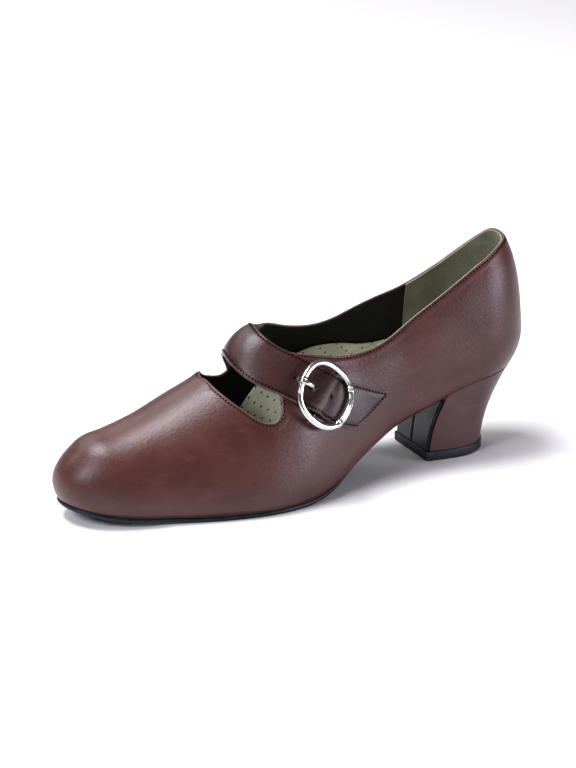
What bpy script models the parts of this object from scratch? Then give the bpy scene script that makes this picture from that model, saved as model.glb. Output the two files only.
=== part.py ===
"""Mary jane shoe for the left foot, empty, standing on its heel and tread.

Metres, +Z up. The toe points to -X, the outer side with the buckle faces -Y. The last is one
surface with two numbers: way runs along each side from the toe tip (0) to the back seam (1),
and turn goes over the foot in degrees, from the outer feather line (0) over the crest (90)
to the inner feather line (180).
"""
import math

import bmesh
import bpy
import numpy as np
from mathutils import Vector

MM = 0.001

# Last
LENGTH = 253 * MM
BALL_WIDTH = 84 * MM
HEEL_WIDTH = 59 * MM
INSTEP_HEIGHT = 80 * MM
COLLAR_HEIGHT = 75 * MM
SEAT_HEIGHT = 46 * MM
TOE_SPRING = 8 * MM
TOE_SIDE_ROUND = 42 * MM
TOE_TOP_ROUND = 21 * MM
TOE_BULGE = 3 * MM
TOE_BULGE_HEIGHT = 24 * MM
TOE_BULGE_LENGTH = 30 * MM
FEATHER_TUCK = 5.5 * MM
TUCK_HEIGHT = 17 * MM
HEEL_ROUND_DEPTH = 31 * MM

# Walls, plates and clearance
GAP = 0.3 * MM
WALL = 1.8 * MM
SOLE_THICKNESS = 2.7 * MM
SHANK_THICKNESS = 1.3 * MM
SHANK_INSET = 1.2 * MM
SOLE_STEP = 0.7 * MM
SOLE_BEVEL = 0.7 * MM
INSOLE_THICKNESS = 2.5 * MM
INSOLE_INSET = 2.4 * MM
INSOLE_BEVEL = 0.6 * MM
SOLE_END_CLEARANCE = 1.2 * MM

# Heel
HEEL_SEAT_LENGTH = 51.5 * MM
LIFT_THICKNESS = 5 * MM
LIFT_LENGTH = 38.5 * MM
LIFT_WIDTH = 37.8 * MM
LIFT_FRONT_WIDTH = 34.8 * MM
LIFT_FROM_BACK = 20.2 * MM
LIFT_ROUND_DEPTH = 20.8 * MM
LIFT_LIP = 0.4 * MM
HEEL_FLARE = 1.65
COVER_THICKNESS = 1.2 * MM
COVER_MARGIN = 1.0 * MM
COVER_TOP_CLEARANCE = 1.8 * MM
GROOVE_WIDTH = 1.8 * MM
GROOVE_DEPTH = 0.6 * MM

# Strap and buckle
STRAP_WIDTH = 22 * MM
STRAP_THICKNESS = 2.0 * MM
REAR_RAISE = 3.5 * MM
SEAM_GAP = 0.5 * MM
TIP_SLANT = 7.6 * MM
BUCKLE_FROM_TIP = 42.5 * MM
BUCKLE_ASIDE = 0.5 * MM
BUCKLE_TURN = math.radians(11)
RING_LENGTH = 31.0 * MM
RING_HEIGHT = 36.4 * MM
RING_WIRE = 2.6 * MM
RING_SQUARENESS = 2.3
RING_LIFT = 5.2 * MM
RING_BOW = 0.5 * MM
BAR_WIRE = 2.0 * MM
BAR_OFFSET = 1.2 * MM
HUMP_TO_PRONG = 8.5 * MM
HUMP_TO_TIP = 4.2 * MM
PRONG_WIRE = 1.5 * MM
PRONG_ASIDE = -1.8 * MM
PRONG_OVERHANG = 1.6 * MM
HOLE_SPACING = 10.2 * MM
HOLE_FROM_BAR = 7.4 * MM
HOLE_WIDTH = 2.2 * MM
PRONG_HOLE_WIDTH = 4.8 * MM
HOLE_DEPTH = 12 * MM

# Where the back of the last starts to turn, as a share of the way
HEEL_TURN_START = 0.841
# Shares of the length between which the sole thins to its shank
SHANK_FROM, SHANK_TO = 0.50, 0.63

# One row for each section of the last. along is a share of LENGTH; seat blends from the ball
# width and instep height (0) to the heel width and collar height (1), and lateral, medial,
# ridge and crest are shares of those. spring and arch are shares of TOE_SPRING and
# SEAT_HEIGHT, power is the roundness, tuck and tuck_rise are shares of their named sizes.
SECTION_COLUMNS = ("along", "seat", "spring", "arch", "lateral", "medial", "ridge", "crest",
                   "power", "tuck", "tuck_rise")
SECTIONS = np.array([
    (0.00, 0.00, 1.00, 0.000, 0.381, 0.333, -0.071, 0.375, 2.35, 0.27, 0.41),
    (0.08, 0.00, 0.50, 0.000, 0.363, 0.327, -0.071, 0.412, 2.30, 0.27, 0.47),
    (0.16, 0.00, 0.19, 0.000, 0.372, 0.357, -0.069, 0.504, 2.15, 0.27, 0.47),
    (0.24, 0.00, 0.03, 0.000, 0.444, 0.434, -0.062, 0.625, 2.00, 0.27, 0.47),
    (0.31, 0.00, 0.00, 0.000, 0.503, 0.476, -0.054, 0.728, 1.85, 0.27, 0.47),
    (0.40, 0.00, 0.00, 0.000, 0.546, 0.462, -0.038, 0.906, 1.80, 0.36, 0.53),
    (0.46, 0.00, 0.00, 0.004, 0.538, 0.418, -0.024, 1.000, 1.85, 0.50, 0.59),
    (0.52, 0.10, 0.00, 0.052, 0.494, 0.362, -0.012, 0.987, 1.90, 0.66, 0.65),
    (0.60, 0.30, 0.00, 0.264, 0.434, 0.327, 0.000, 0.930, 2.00, 0.80, 0.71),
    (0.68, 0.60, 0.00, 0.535, 0.432, 0.355, 0.000, 0.883, 2.20, 0.82, 0.76),
    (0.76, 0.85, 0.00, 0.714, 0.475, 0.430, 0.000, 0.924, 2.40, 0.82, 0.82),
    (0.84, 1.00, 0.00, 0.867, 0.505, 0.488, 0.000, 1.000, 2.50, 0.85, 0.88),
    (0.92, 1.00, 0.00, 0.960, 0.505, 0.492, 0.000, 1.020, 2.60, 0.91, 1.00),
    (1.00, 1.00, 0.00, 1.000, 0.505, 0.492, 0.000, 1.000, 2.80, 1.00, 1.00)])

# The upper's top edge, a row for each bend: its way and turn (from the feather line up), and
# the way of the point below it on the feather line.
LATERAL_TOPLINE = np.array([
    (0.288, 90.0, 0.288), (0.291, 83.5, 0.291), (0.295, 73.5, 0.295), (0.307, 62.2, 0.306),
    (0.322, 53.0, 0.320), (0.342, 43.8, 0.339), (0.359, 38.9, 0.356), (0.375, 37.0, 0.373),
    (0.388, 38.4, 0.386), (0.396, 43.0, 0.396), (0.396, 51.0, 0.402), (0.400, 60.5, 0.410),
    (0.411, 67.5, 0.421), (0.426, 68.0, 0.433), (0.443, 63.8, 0.447), (0.470, 58.6, 0.472),
    (0.508, 53.0, 0.508), (0.545, 48.0, 0.545), (0.600, 43.4, 0.600), (0.650, 42.8, 0.650),
    (0.700, 44.5, 0.700), (0.761, 45.4, 0.761), (0.807, 46.7, 0.807), (0.852, 49.2, 0.852),
    (0.902, 51.2, 0.902), (0.955, 52.5, 0.955), (1.000, 52.9, 1.000)])
MEDIAL_TOPLINE = np.array([
    (0.288, 90.0, 0.288), (0.291, 83.5, 0.291), (0.299, 77.0, 0.299), (0.315, 63.5, 0.315),
    (0.333, 52.5, 0.333), (0.356, 45.1, 0.356), (0.376, 41.7, 0.376), (0.389, 42.5, 0.391),
    (0.436, 74.0, 0.436), (0.452, 70.4, 0.452), (0.469, 66.8, 0.469), (0.488, 63.2, 0.488),
    (0.515, 58.8, 0.515), (0.553, 53.6, 0.553), (0.595, 49.9, 0.595), (0.636, 47.4, 0.636),
    (0.682, 43.2, 0.682), (0.727, 38.6, 0.727), (0.773, 35.3, 0.773), (0.818, 35.0, 0.818),
    (0.864, 37.4, 0.864), (0.909, 43.2, 0.909), (0.955, 50.3, 0.955), (0.980, 52.4, 0.980),
    (1.000, 52.9, 1.000)])
STRAP_SEAM_ROWS = (7, 8)

# The strap from the inner seam to the tip, one row for each bend: way and turn of its middle
# line, its width as a share of STRAP_WIDTH, and how far its rear edge stands off the foot as
# a share of REAR_RAISE.
STRAP_PATH = np.array([
    (0.419, 126.5, 1.00, 0.0), (0.396, 115.0, 1.00, 0.3), (0.380, 102.5, 0.95, 0.8),
    (0.371, 90.0, 0.92, 1.0), (0.370, 78.5, 0.95, 0.8), (0.380, 68.0, 1.00, 0.4),
    (0.399, 59.3, 1.00, 0.1), (0.423, 51.8, 1.00, 0.0), (0.452, 44.4, 1.00, 0.0),
    (0.483, 37.6, 1.00, 0.0), (0.517, 31.2, 1.00, 0.0), (0.555, 25.0, 0.97, 0.0),
    (0.622, 15.2, 0.82, 0.0)])
# Share of the strap's length where it starts and ends its climb onto the outer quarter
STRAP_CLIMB = (0.14, 0.36)
# Share of its length over which the strap widens to its seam with the inner quarter
SEAM_SPREAD = 0.25

# Power that crowds the rows towards the toe tip
TOE_CROWDING = 1.6

# Mesh rows
TOE_ROWS = 13
SIDE_ROWS = 48
RISE_STEPS = 9
OUTLINE_ROWS = 44
STRAP_ROWS = 62
RING_STEPS = 48
BAR_STEPS = 15
PRONG_STEPS = 22
HOLE_SIDES = 12
STRAP_STEPS = 7
MIDDLE_STEPS = 400
WALK_STEPS = 6
HEEL_LEVELS = 7

LATERAL, MEDIAL = -1, 1
# Degrees between faces from which an edge is sharp
EDGE_ANGLE = 40

COLOURS = {
    "upper": ((0.125, 0.040, 0.034), 0.42, 0.0),
    "strap": ((0.095, 0.028, 0.026), 0.42, 0.0),
    "buckle_frame": ((0.78, 0.78, 0.79), 0.12, 1.0),
    "buckle_prong": ((0.78, 0.78, 0.79), 0.12, 1.0),
    "insole": ((0.44, 0.42, 0.28), 0.75, 0.0),
    "outsole": ((0.008, 0.012, 0.014), 0.45, 0.0),
    "heel_block": ((0.110, 0.044, 0.037), 0.45, 0.0),
    "breast_cover": ((0.020, 0.024, 0.025), 0.40, 0.0),
    "top_lift": ((0.006, 0.013, 0.017), 0.55, 0.0),
}


def smooth(where, places, values):
    """Monotone cubic curve through the rows of a table."""
    where = np.asarray(where, float)
    step = np.diff(places)
    rise = np.diff(values) / step
    mean = (step[1:] * rise[:-1] + step[:-1] * rise[1:]) / (step[1:] + step[:-1])
    most = 3 * np.minimum(abs(rise[:-1]), abs(rise[1:]))
    inner = np.where(rise[:-1] * rise[1:] > 0, np.sign(mean) * np.minimum(abs(mean), most), 0)
    slope = np.concatenate([rise[:1], inner, rise[-1:]])
    row = np.clip(np.searchsorted(places, where) - 1, 0, len(places) - 2)
    t = np.clip((where - places[row]) / step[row], 0, 1)
    return ((1 + 2 * t) * (1 - t) ** 2 * values[row] + t * (1 - t) ** 2 * step[row] * slope[row]
            + t * t * (3 - 2 * t) * values[row + 1] + t * t * (t - 1) * step[row] * slope[row + 1])


def section(name, along):
    """A column of the section table at shares of the length."""
    return smooth(along, SECTIONS[:, 0], SECTIONS[:, SECTION_COLUMNS.index(name)])


def bends(table, column, position):
    """A column of a table of bends, at a row number that may lie between two rows."""
    return smooth(position, np.arange(len(table), dtype=float), table[:, column])


def ease(share):
    """Smooth step from 0 to 1."""
    share = np.clip(share, 0, 1)
    return share * share * (3 - 2 * share)


def rounding(distance, reach):
    """Quarter-ellipse end: 0 at the tip, 1 from reach on."""
    return np.sqrt(1 - np.clip(1 - distance / reach, 0, 1) ** 2)


def floor_height(x):
    """Height of the feather line, a gap above the sole and heel seat, at x from the toe tip."""
    along = x / LENGTH
    ball = SOLE_THICKNESS + GAP
    raised = (SEAT_HEIGHT - ball) * section("arch", along)
    return ball + TOE_SPRING * section("spring", along) + raised


def last_side(way, turn, side):
    """Points of one half of the last; turn is measured up from that side's feather line."""
    way, turn = np.broadcast_arrays(np.asarray(way, float), np.asarray(turn, float))
    round_turn = np.clip((way - HEEL_TURN_START) / (1 - HEEL_TURN_START), 0, 1) * math.pi / 2
    straight = np.clip(way / HEEL_TURN_START, 0, 1) * (LENGTH - HEEL_ROUND_DEPTH)
    along = (straight + HEEL_ROUND_DEPTH * np.sin(round_turn)) / LENGTH
    seat = section("seat", along)
    wide = BALL_WIDTH * (1 - seat) + HEEL_WIDTH * seat
    tall = INSTEP_HEIGHT * (1 - seat) + COLLAR_HEIGHT * seat
    toe_side = rounding(straight, TOE_SIDE_ROUND)
    toe_top = rounding(straight, TOE_TOP_ROUND)
    power = section("power", along)
    across, up = np.cos(np.radians(turn)), np.sin(np.radians(turn))
    bow = (abs(across) ** power + abs(up) ** power) ** (-1 / power)
    height = tall * section("crest", along) * toe_top * bow * up
    half = wide * section("lateral" if side == LATERAL else "medial", along) * toe_side
    half = 1 / np.hypot(np.sin(round_turn) / HEEL_ROUND_DEPTH,
                        np.cos(round_turn) / np.maximum(half, 1e-9))
    tuck_height = TUCK_HEIGHT * section("tuck_rise", along) * np.maximum(toe_top, 1e-6)
    tuck = FEATHER_TUCK * section("tuck", along) * toe_side
    reach = half * bow * across - tuck * np.clip(1 - height / tuck_height, 0, 1) ** 2 * across
    bulge = TOE_BULGE * np.sin(math.pi * np.clip(height / TOE_BULGE_HEIGHT, 0, 1))
    bulge = bulge * np.clip(1 - straight / TOE_BULGE_LENGTH, 0, 1) ** 2
    x = straight + reach * np.sin(round_turn) - bulge
    y = BALL_WIDTH * section("ridge", along) + side * reach * np.cos(round_turn)
    return np.stack([x, y, floor_height(along * LENGTH) + height], -1)


def last(way, turn):
    """Points of the last; turn goes from the outer (0) over to the inner (180) feather line."""
    way, turn = np.broadcast_arrays(np.asarray(way, float), np.asarray(turn, float))
    outer = (turn <= 90)[..., None]
    return np.where(outer, last_side(way, np.minimum(turn, 90), LATERAL),
                    last_side(way, np.minimum(180 - turn, 90), MEDIAL))


def last_slopes(way, turn):
    """Change of the last's point with way and with turn, and its unit normal."""
    small_way, small_turn = 1e-4, 0.05
    by_way = (last(way + small_way, turn) - last(way - small_way, turn)) / (2 * small_way)
    by_turn = (last(way, turn + small_turn) - last(way, turn - small_turn)) / (2 * small_turn)
    normal = np.cross(by_way, by_turn)
    return by_way, by_turn, normal / np.linalg.norm(normal, axis=-1, keepdims=True)


def strap_middle():
    """The strap's middle line, finely stepped: length, way, turn, width and raise."""
    position = np.linspace(0, len(STRAP_PATH) - 1, MIDDLE_STEPS)
    way, turn, width, lifted = (bends(STRAP_PATH, column, position) for column in range(4))
    steps = np.linalg.norm(np.diff(last(way, turn), axis=0), axis=1)
    return np.concatenate([[0], np.cumsum(steps)]), way, turn, width, lifted


MIDDLE_LENGTH, MIDDLE_WAY, MIDDLE_TURN, MIDDLE_WIDTH, MIDDLE_RAISE = strap_middle()
STRAP_LENGTH = MIDDLE_LENGTH[-1]
BUCKLE_AT = STRAP_LENGTH - BUCKLE_FROM_TIP


def beside_middle(length, aside):
    """Way and turn of points at a length along the strap, and a distance to its rear edge side."""
    length, aside = np.broadcast_arrays(np.asarray(length, float), np.asarray(aside, float))
    way = np.interp(length, MIDDLE_LENGTH, MIDDLE_WAY)
    turn = np.interp(length, MIDDLE_LENGTH, MIDDLE_TURN)
    small = 0.5 * MM
    ahead = (last(np.interp(length + small, MIDDLE_LENGTH, MIDDLE_WAY),
                  np.interp(length + small, MIDDLE_LENGTH, MIDDLE_TURN))
             - last(np.interp(length - small, MIDDLE_LENGTH, MIDDLE_WAY),
                    np.interp(length - small, MIDDLE_LENGTH, MIDDLE_TURN)))
    for _ in range(WALK_STEPS):
        by_way, by_turn, normal = last_slopes(way, turn)
        side = np.cross(normal, ahead)
        side *= (aside / WALK_STEPS / np.linalg.norm(side, axis=-1))[..., None]
        ww, wt, tt = (by_way ** 2).sum(-1), (by_way * by_turn).sum(-1), (by_turn ** 2).sum(-1)
        sw, st = (side * by_way).sum(-1), (side * by_turn).sum(-1)
        det = ww * tt - wt ** 2
        way, turn = way + (sw * tt - st * wt) / det, turn + (st * ww - sw * wt) / det
    return way, turn


def strap_lift(length, aside):
    """Height of the strap's outer face above the last: flush, then over the quarter and bar."""
    start, end = (share * STRAP_LENGTH for share in STRAP_CLIMB)
    from_bar = length - BUCKLE_AT - BAR_OFFSET - math.tan(BUCKLE_TURN) * aside
    reach = np.where(from_bar < 0, HUMP_TO_PRONG, HUMP_TO_TIP)
    hump = (BAR_WIRE + 2 * GAP) * np.exp(-(from_bar / reach) ** 2)
    return ease((length - start) / (end - start)) * (STRAP_THICKNESS + GAP) + hump


def over_strap(length, aside, height):
    """Points above the last in the strap's own directions."""
    way, turn = beside_middle(length, aside)
    normal = last_slopes(way, turn)[2]
    return last(way, turn) + np.asarray(height)[..., None] * normal


def top_edge(table, rows):
    """Way and turn of the top edge and way of its foot, at evenly stepped bends."""
    position = np.linspace(0, len(table) - 1, rows)
    return [bends(table, column, position)[:, None] for column in range(3)]


def half_wall(table, side):
    """Grid of the upper's outer face on one side, from the toe tip to the back seam."""
    share = np.linspace(0, 1, RISE_STEPS + 1)[None, :]
    toe = np.linspace(0, 1, TOE_ROWS + 1)[:-1, None] ** TOE_CROWDING * table[0, 0]
    front = last_side(toe, share * 90, side)
    way, turn, foot = top_edge(table, SIDE_ROWS + 1)
    rear = last_side(foot + (way - foot) * share, share * turn, side)
    return np.concatenate([front, rear])


def frame_centre():
    """Middle of the upper's box on the ground, which is the part's origin."""
    points = np.concatenate([half_wall(LATERAL_TOPLINE, LATERAL).reshape(-1, 3),
                             half_wall(MEDIAL_TOPLINE, MEDIAL).reshape(-1, 3)])
    middle = (points.min(0) + points.max(0)) / 2
    return np.array([middle[0], middle[1], 0])


ORIGIN = frame_centre()


def make_object(name, points, faces, shoes, smooth_angle=None):
    """Mesh object from points and faces, with doubles merged and normals outward."""
    mesh = bpy.data.meshes.new(name)
    mesh.from_pydata([tuple(point) for point in np.asarray(points) - ORIGIN], [], faces)
    work = bmesh.new()
    work.from_mesh(mesh)
    bmesh.ops.remove_doubles(work, verts=work.verts, dist=0.02 * MM)
    bmesh.ops.dissolve_degenerate(work, edges=work.edges, dist=0.01 * MM)
    bmesh.ops.recalc_face_normals(work, faces=work.faces)
    if work.calc_volume(signed=True) < 0:
        bmesh.ops.reverse_faces(work, faces=work.faces)
    work.to_mesh(mesh)
    work.free()
    mesh.shade_smooth()
    if smooth_angle is not None:
        mesh.set_sharp_from_angle(angle=math.radians(smooth_angle))
    piece = bpy.data.objects.new(name, mesh)
    shoes.objects.link(piece)
    if name in COLOURS:
        mesh.materials.append(make_material(name))
    return piece


def make_material(name):
    """Principled material of one piece."""
    colour, roughness, metallic = COLOURS[name]
    material = bpy.data.materials.new(name)
    material.use_nodes = True
    shader = material.node_tree.nodes["Principled BSDF"]
    shader.inputs["Base Color"].default_value = (*colour, 1)
    shader.inputs["Roughness"].default_value = roughness
    shader.inputs["Metallic"].default_value = metallic
    return material


def grid_faces(rows, columns, start=0):
    """Quads of a grid of points stored row by row."""
    return [(start + r * columns + c, start + r * columns + c + 1,
             start + (r + 1) * columns + c + 1, start + (r + 1) * columns + c)
            for r in range(rows - 1) for c in range(columns - 1)]


def stack(rings, pairs):
    """Closed body from a stack of rings, each closed by strips between paired points."""
    levels, count = rings.shape[:2]
    faces = [(level * count + i, level * count + (i + 1) % count,
              (level + 1) * count + (i + 1) % count, (level + 1) * count + i)
             for level in range(levels - 1) for i in range(count)]
    for start in (0, (levels - 1) * count):
        for (a, b), (c, d) in zip(pairs[:-1], pairs[1:]):
            corners = list(dict.fromkeys([start + a, start + c, start + d, start + b]))
            faces.append(corners)
    return rings.reshape(-1, 3), faces


def outline(way, inset):
    """Plan of the feather line moved inward: outer side forward to back, then the inner side."""
    small = 1e-5
    sides = []
    for side in (LATERAL, MEDIAL):
        ahead = last_side(np.minimum(way + small, 1), 0, side)
        behind = last_side(np.maximum(way - small, 0), 0, side)
        tangent = ahead - behind
        inward = np.stack([tangent[:, 1], -tangent[:, 0], 0 * way], -1) * side
        inward /= np.linalg.norm(inward, axis=1, keepdims=True)
        if way[0] == 0:
            inward[0] = (1, 0, 0)
        if way[-1] == 1:
            inward[-1] = (-1, 0, 0)
        sides.append(last_side(way, 0, side) + np.broadcast_to(inset, way.shape)[:, None] * inward)
    return sides[0], sides[1]


def ring_of(outer, inner):
    """One ring from the two sides, with the pairs of points that face each other."""
    rows = len(outer)
    ring = np.concatenate([outer, inner[::-1]])
    return ring, [(i, 2 * rows - 1 - i) for i in range(rows)]


def plate(name, way, levels, shoes):
    """Plate that follows the floor, with an inset and a drop below the floor for each level."""
    rings = []
    for inset, drop in levels:
        ring, pairs = ring_of(*outline(way, inset))
        drop = np.broadcast_to(drop, way.shape)
        ring[:, 2] = floor_height(ring[:, 0]) - np.concatenate([drop, drop[::-1]])
        rings.append(ring)
    points, faces = stack(np.array(rings), pairs)
    return make_object(name, points, faces, shoes, EDGE_ANGLE)


def make_upper(shoes):
    """Vamp and quarters: outer face of the last up to the top edge, thickened inward."""
    points, faces = [], []
    for table, side in ((LATERAL_TOPLINE, LATERAL), (MEDIAL_TOPLINE, MEDIAL)):
        grid = half_wall(table, side)
        faces += grid_faces(grid.shape[0], grid.shape[1], len(points) * grid[..., 0].size)
        points.append(grid.reshape(-1, 3))
    piece = make_object("upper", np.concatenate(points), faces, shoes)
    outward = sum(polygon.normal.z * polygon.area for polygon in piece.data.polygons)
    if outward < 0:
        piece.data.flip_normals()
    wall = piece.modifiers.new("Wall", "SOLIDIFY")
    wall.thickness = WALL
    wall.offset = -1
    return piece


def make_sole(shoes):
    """Outsole from the toe to the heel breast, with a step under the upper and a bevel."""
    straight = LENGTH - HEEL_ROUND_DEPTH
    end = (LENGTH - HEEL_SEAT_LENGTH - SOLE_END_CLEARANCE) / straight * HEEL_TURN_START
    way = end * np.linspace(0, 1, OUTLINE_ROWS) ** TOE_CROWDING
    shank = ease((way * straight / HEEL_TURN_START / LENGTH - SHANK_FROM) / (SHANK_TO - SHANK_FROM))
    thickness = SOLE_THICKNESS + (SHANK_THICKNESS - SOLE_THICKNESS) * shank
    step = SOLE_STEP * (1 - shank / 2)
    edge = GAP + SHANK_INSET * shank
    levels = ((edge + step, GAP), (edge + step, GAP + step), (edge, GAP + step),
              (edge, GAP + thickness - SOLE_BEVEL / 2), (edge + SOLE_BEVEL, GAP + thickness))
    return plate("outsole", way, levels, shoes)


def make_insole(shoes):
    """Footbed inside the wall, one gap above the sole and the heel seat."""
    way = np.linspace(0, 1, OUTLINE_ROWS) ** TOE_CROWDING
    levels = ((INSOLE_INSET, 0), (INSOLE_INSET, INSOLE_BEVEL - INSOLE_THICKNESS),
              (INSOLE_INSET + INSOLE_BEVEL, -INSOLE_THICKNESS))
    return plate("insole", way, levels, shoes)


def heel_ways():
    """Ways of the heel's rows, from its breast to the back seam."""
    breast = (LENGTH - HEEL_SEAT_LENGTH) / (LENGTH - HEEL_ROUND_DEPTH) * HEEL_TURN_START
    return np.linspace(breast, 1, OUTLINE_ROWS)


def lift_outline(inset, set_back=0):
    """Plan of the top lift at the heel's ways: straight sides and a round back."""
    way = heel_ways()
    back = LENGTH - LIFT_FROM_BACK
    front = back - LIFT_LENGTH + inset + set_back
    centre = back - LIFT_ROUND_DEPTH
    share = np.clip((way - way[0]) / (HEEL_TURN_START - way[0]), 0, 1)
    angle = np.clip((way - HEEL_TURN_START) / (1 - HEEL_TURN_START), 0, 1) * math.pi / 2
    half = LIFT_FRONT_WIDTH / 2 + (LIFT_WIDTH - LIFT_FRONT_WIDTH) / 2 * np.sin(share * math.pi / 2)
    x = front + (centre - front) * share + (LIFT_ROUND_DEPTH - inset) * np.sin(angle)
    return x, (half - inset) * np.cos(angle)


def heel_rings():
    """Rings of the heel from its foot to the seat, flaring with a power of the height."""
    outer, inner = outline(heel_ways(), GAP)
    x, half = lift_outline(LIFT_LIP, COVER_THICKNESS + GAP)
    low = LIFT_THICKNESS + GAP
    rings = []
    for share in np.linspace(0, 1, HEEL_LEVELS):
        sides = []
        for top, side in ((outer, LATERAL), (inner, MEDIAL)):
            foot = np.stack([x, side * half], -1)
            plan = foot + (top[:, :2] - foot) * share ** HEEL_FLARE
            height = low + (floor_height(top[:, 0]) - GAP - low) * share
            sides.append(np.column_stack([plan, height]))
        ring, pairs = ring_of(*sides)
        rings.append(ring)
    return np.array(rings), pairs


def make_heel(shoes):
    """Covered heel block between the top lift and the seat."""
    rings, pairs = heel_rings()
    points, faces = stack(rings, pairs)
    return make_object("heel_block", points, faces, shoes, EDGE_ANGLE)


def make_lift(shoes):
    """Top lift that the heel stands on, with a small bevel at its foot."""
    rings = []
    for inset, height in ((GAP, 0), (0, GAP), (0, LIFT_THICKNESS)):
        x, half = lift_outline(inset)
        sides = [np.column_stack([x, side * half, 0 * x + height]) for side in (LATERAL, MEDIAL)]
        ring, pairs = ring_of(*sides)
        rings.append(ring)
    points, faces = stack(np.array(rings), pairs)
    return make_object("top_lift", points, faces, shoes, EDGE_ANGLE)


def make_breast_cover(shoes):
    """Panel on the heel's front with an upright groove, under the end of the sole."""
    rings, _ = heel_rings()
    outer, inner = rings[:, 0], rings[:, -1]
    low = LIFT_THICKNESS + GAP
    top = floor_height(outer[-1, 0]) - 2 * GAP - SHANK_THICKNESS - COVER_TOP_CLEARANCE
    levels = np.linspace(low, top, HEEL_LEVELS)
    front = np.interp(levels, outer[:, 2], outer[:, 0])
    slopes = np.gradient(front, levels)
    right = np.interp(levels, outer[:, 2], outer[:, 1]) + COVER_MARGIN
    left = np.interp(levels, inner[:, 2], inner[:, 1]) - COVER_MARGIN
    back = front - GAP * np.sqrt(1 + slopes ** 2)
    face = back - COVER_THICKNESS
    half = GROOVE_WIDTH / 2
    rings = []
    for i, height in enumerate(levels):
        middle = (left[i] + right[i]) / 2
        section_points = [(back[i], right[i]), (face[i], right[i]), (face[i], middle - half),
                          (face[i] + GROOVE_DEPTH, middle - half / 2),
                          (face[i] + GROOVE_DEPTH, middle + half / 2), (face[i], middle + half),
                          (face[i], left[i]), (back[i], left[i])]
        rings.append([(x, y, height) for x, y in section_points])
    rings = np.array(rings)
    count = rings.shape[1]
    faces = [(level * count + i, level * count + (i + 1) % count,
              (level + 1) * count + (i + 1) % count, (level + 1) * count + i)
             for level in range(len(levels) - 1) for i in range(count)]
    faces += [tuple(range(count)), tuple(range((len(levels) - 1) * count, len(levels) * count))]
    return make_object("breast_cover", rings.reshape(-1, 3), faces, shoes, EDGE_ANGLE)


def make_strap(shoes, cutters):
    """Strap from the inner quarter's top edge over the instep to its slanted tip."""
    aside = np.linspace(-1, 1, STRAP_STEPS + 1)[None, :]
    share = np.linspace(0, 1, STRAP_ROWS + 1)[:, None]
    length = share * (STRAP_LENGTH + TIP_SLANT * (aside - 1))
    width = STRAP_WIDTH * np.interp(length, MIDDLE_LENGTH, MIDDLE_WIDTH)
    way, turn = beside_middle(length, aside * width / 2)
    front_row, rear_row = STRAP_SEAM_ROWS
    seam = front_row + (rear_row - front_row) * (aside[0] + 1) / 2
    facets = np.linspace(0, len(MEDIAL_TOPLINE) - 1, SIDE_ROWS + 1)
    seam_way = np.interp(seam, facets, bends(MEDIAL_TOPLINE, 0, facets))
    seam_turn = 180 - np.interp(seam, facets, bends(MEDIAL_TOPLINE, 1, facets))
    by_turn = last_slopes(seam_way, seam_turn)[1]
    edge = np.gradient(last(seam_way, seam_turn), axis=0)
    edge /= np.linalg.norm(edge, axis=-1, keepdims=True)
    off_edge = by_turn - (by_turn * edge).sum(-1, keepdims=True) * edge
    seam_turn = seam_turn - SEAM_GAP / np.linalg.norm(off_edge, axis=-1)
    fade = np.clip(1 - share / SEAM_SPREAD, 0, 1) ** 2
    way = way + (seam_way - way[:1]) * fade
    turn = turn + (seam_turn - turn[:1]) * fade
    normal = last_slopes(way, turn)[2]
    stand_off = REAR_RAISE * np.interp(length, MIDDLE_LENGTH, MIDDLE_RAISE) * (aside + 1) / 2
    lift = strap_lift(length, aside * width / 2) + stand_off
    points = last(way, turn) + lift[..., None] * normal
    rows, columns = points.shape[:2]
    piece = make_object("strap", points.reshape(-1, 3), grid_faces(rows, columns), shoes)
    if sum(polygon.normal.z * polygon.area for polygon in piece.data.polygons) < 0:
        piece.data.flip_normals()
    band = piece.modifiers.new("Thickness", "SOLIDIFY")
    band.thickness = STRAP_THICKNESS
    band.offset = -1
    first = BUCKLE_AT + BAR_OFFSET - HOLE_FROM_BAR
    widths = (HOLE_WIDTH, PRONG_HOLE_WIDTH, HOLE_WIDTH)
    for number, width in zip((-1, 0, 1), widths):
        hole = strap_hole(f"strap_hole_{number + 2}", first + number * HOLE_SPACING, width, cutters)
        cut = piece.modifiers.new(f"Hole {number + 2}", "BOOLEAN")
        cut.operation = "DIFFERENCE"
        cut.object = hole
    return piece


def strap_hole(name, length, width, cutters):
    """Cylinder through the strap at a length along its middle line."""
    bpy.ops.mesh.primitive_cylinder_add(vertices=HOLE_SIDES, radius=width / 2, depth=HOLE_DEPTH)
    hole = bpy.context.object
    hole.name = name
    for collection in list(hole.users_collection):
        collection.objects.unlink(hole)
    cutters.objects.link(hole)
    length = np.array([length])
    at = over_strap(length, 0, strap_lift(length, 0) - STRAP_THICKNESS / 2)[0]
    way, turn = beside_middle(length, 0)
    normal = last_slopes(way, turn)[2][0]
    hole.location = at - ORIGIN
    hole.rotation_mode = "QUATERNION"
    hole.rotation_quaternion = direction_turn(normal)
    hole.hide_render = True
    hole.display_type = "WIRE"
    return hole


def direction_turn(direction):
    """Rotation that takes +Z to a direction."""
    return Vector((0, 0, 1)).rotation_difference(Vector(direction))


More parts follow.
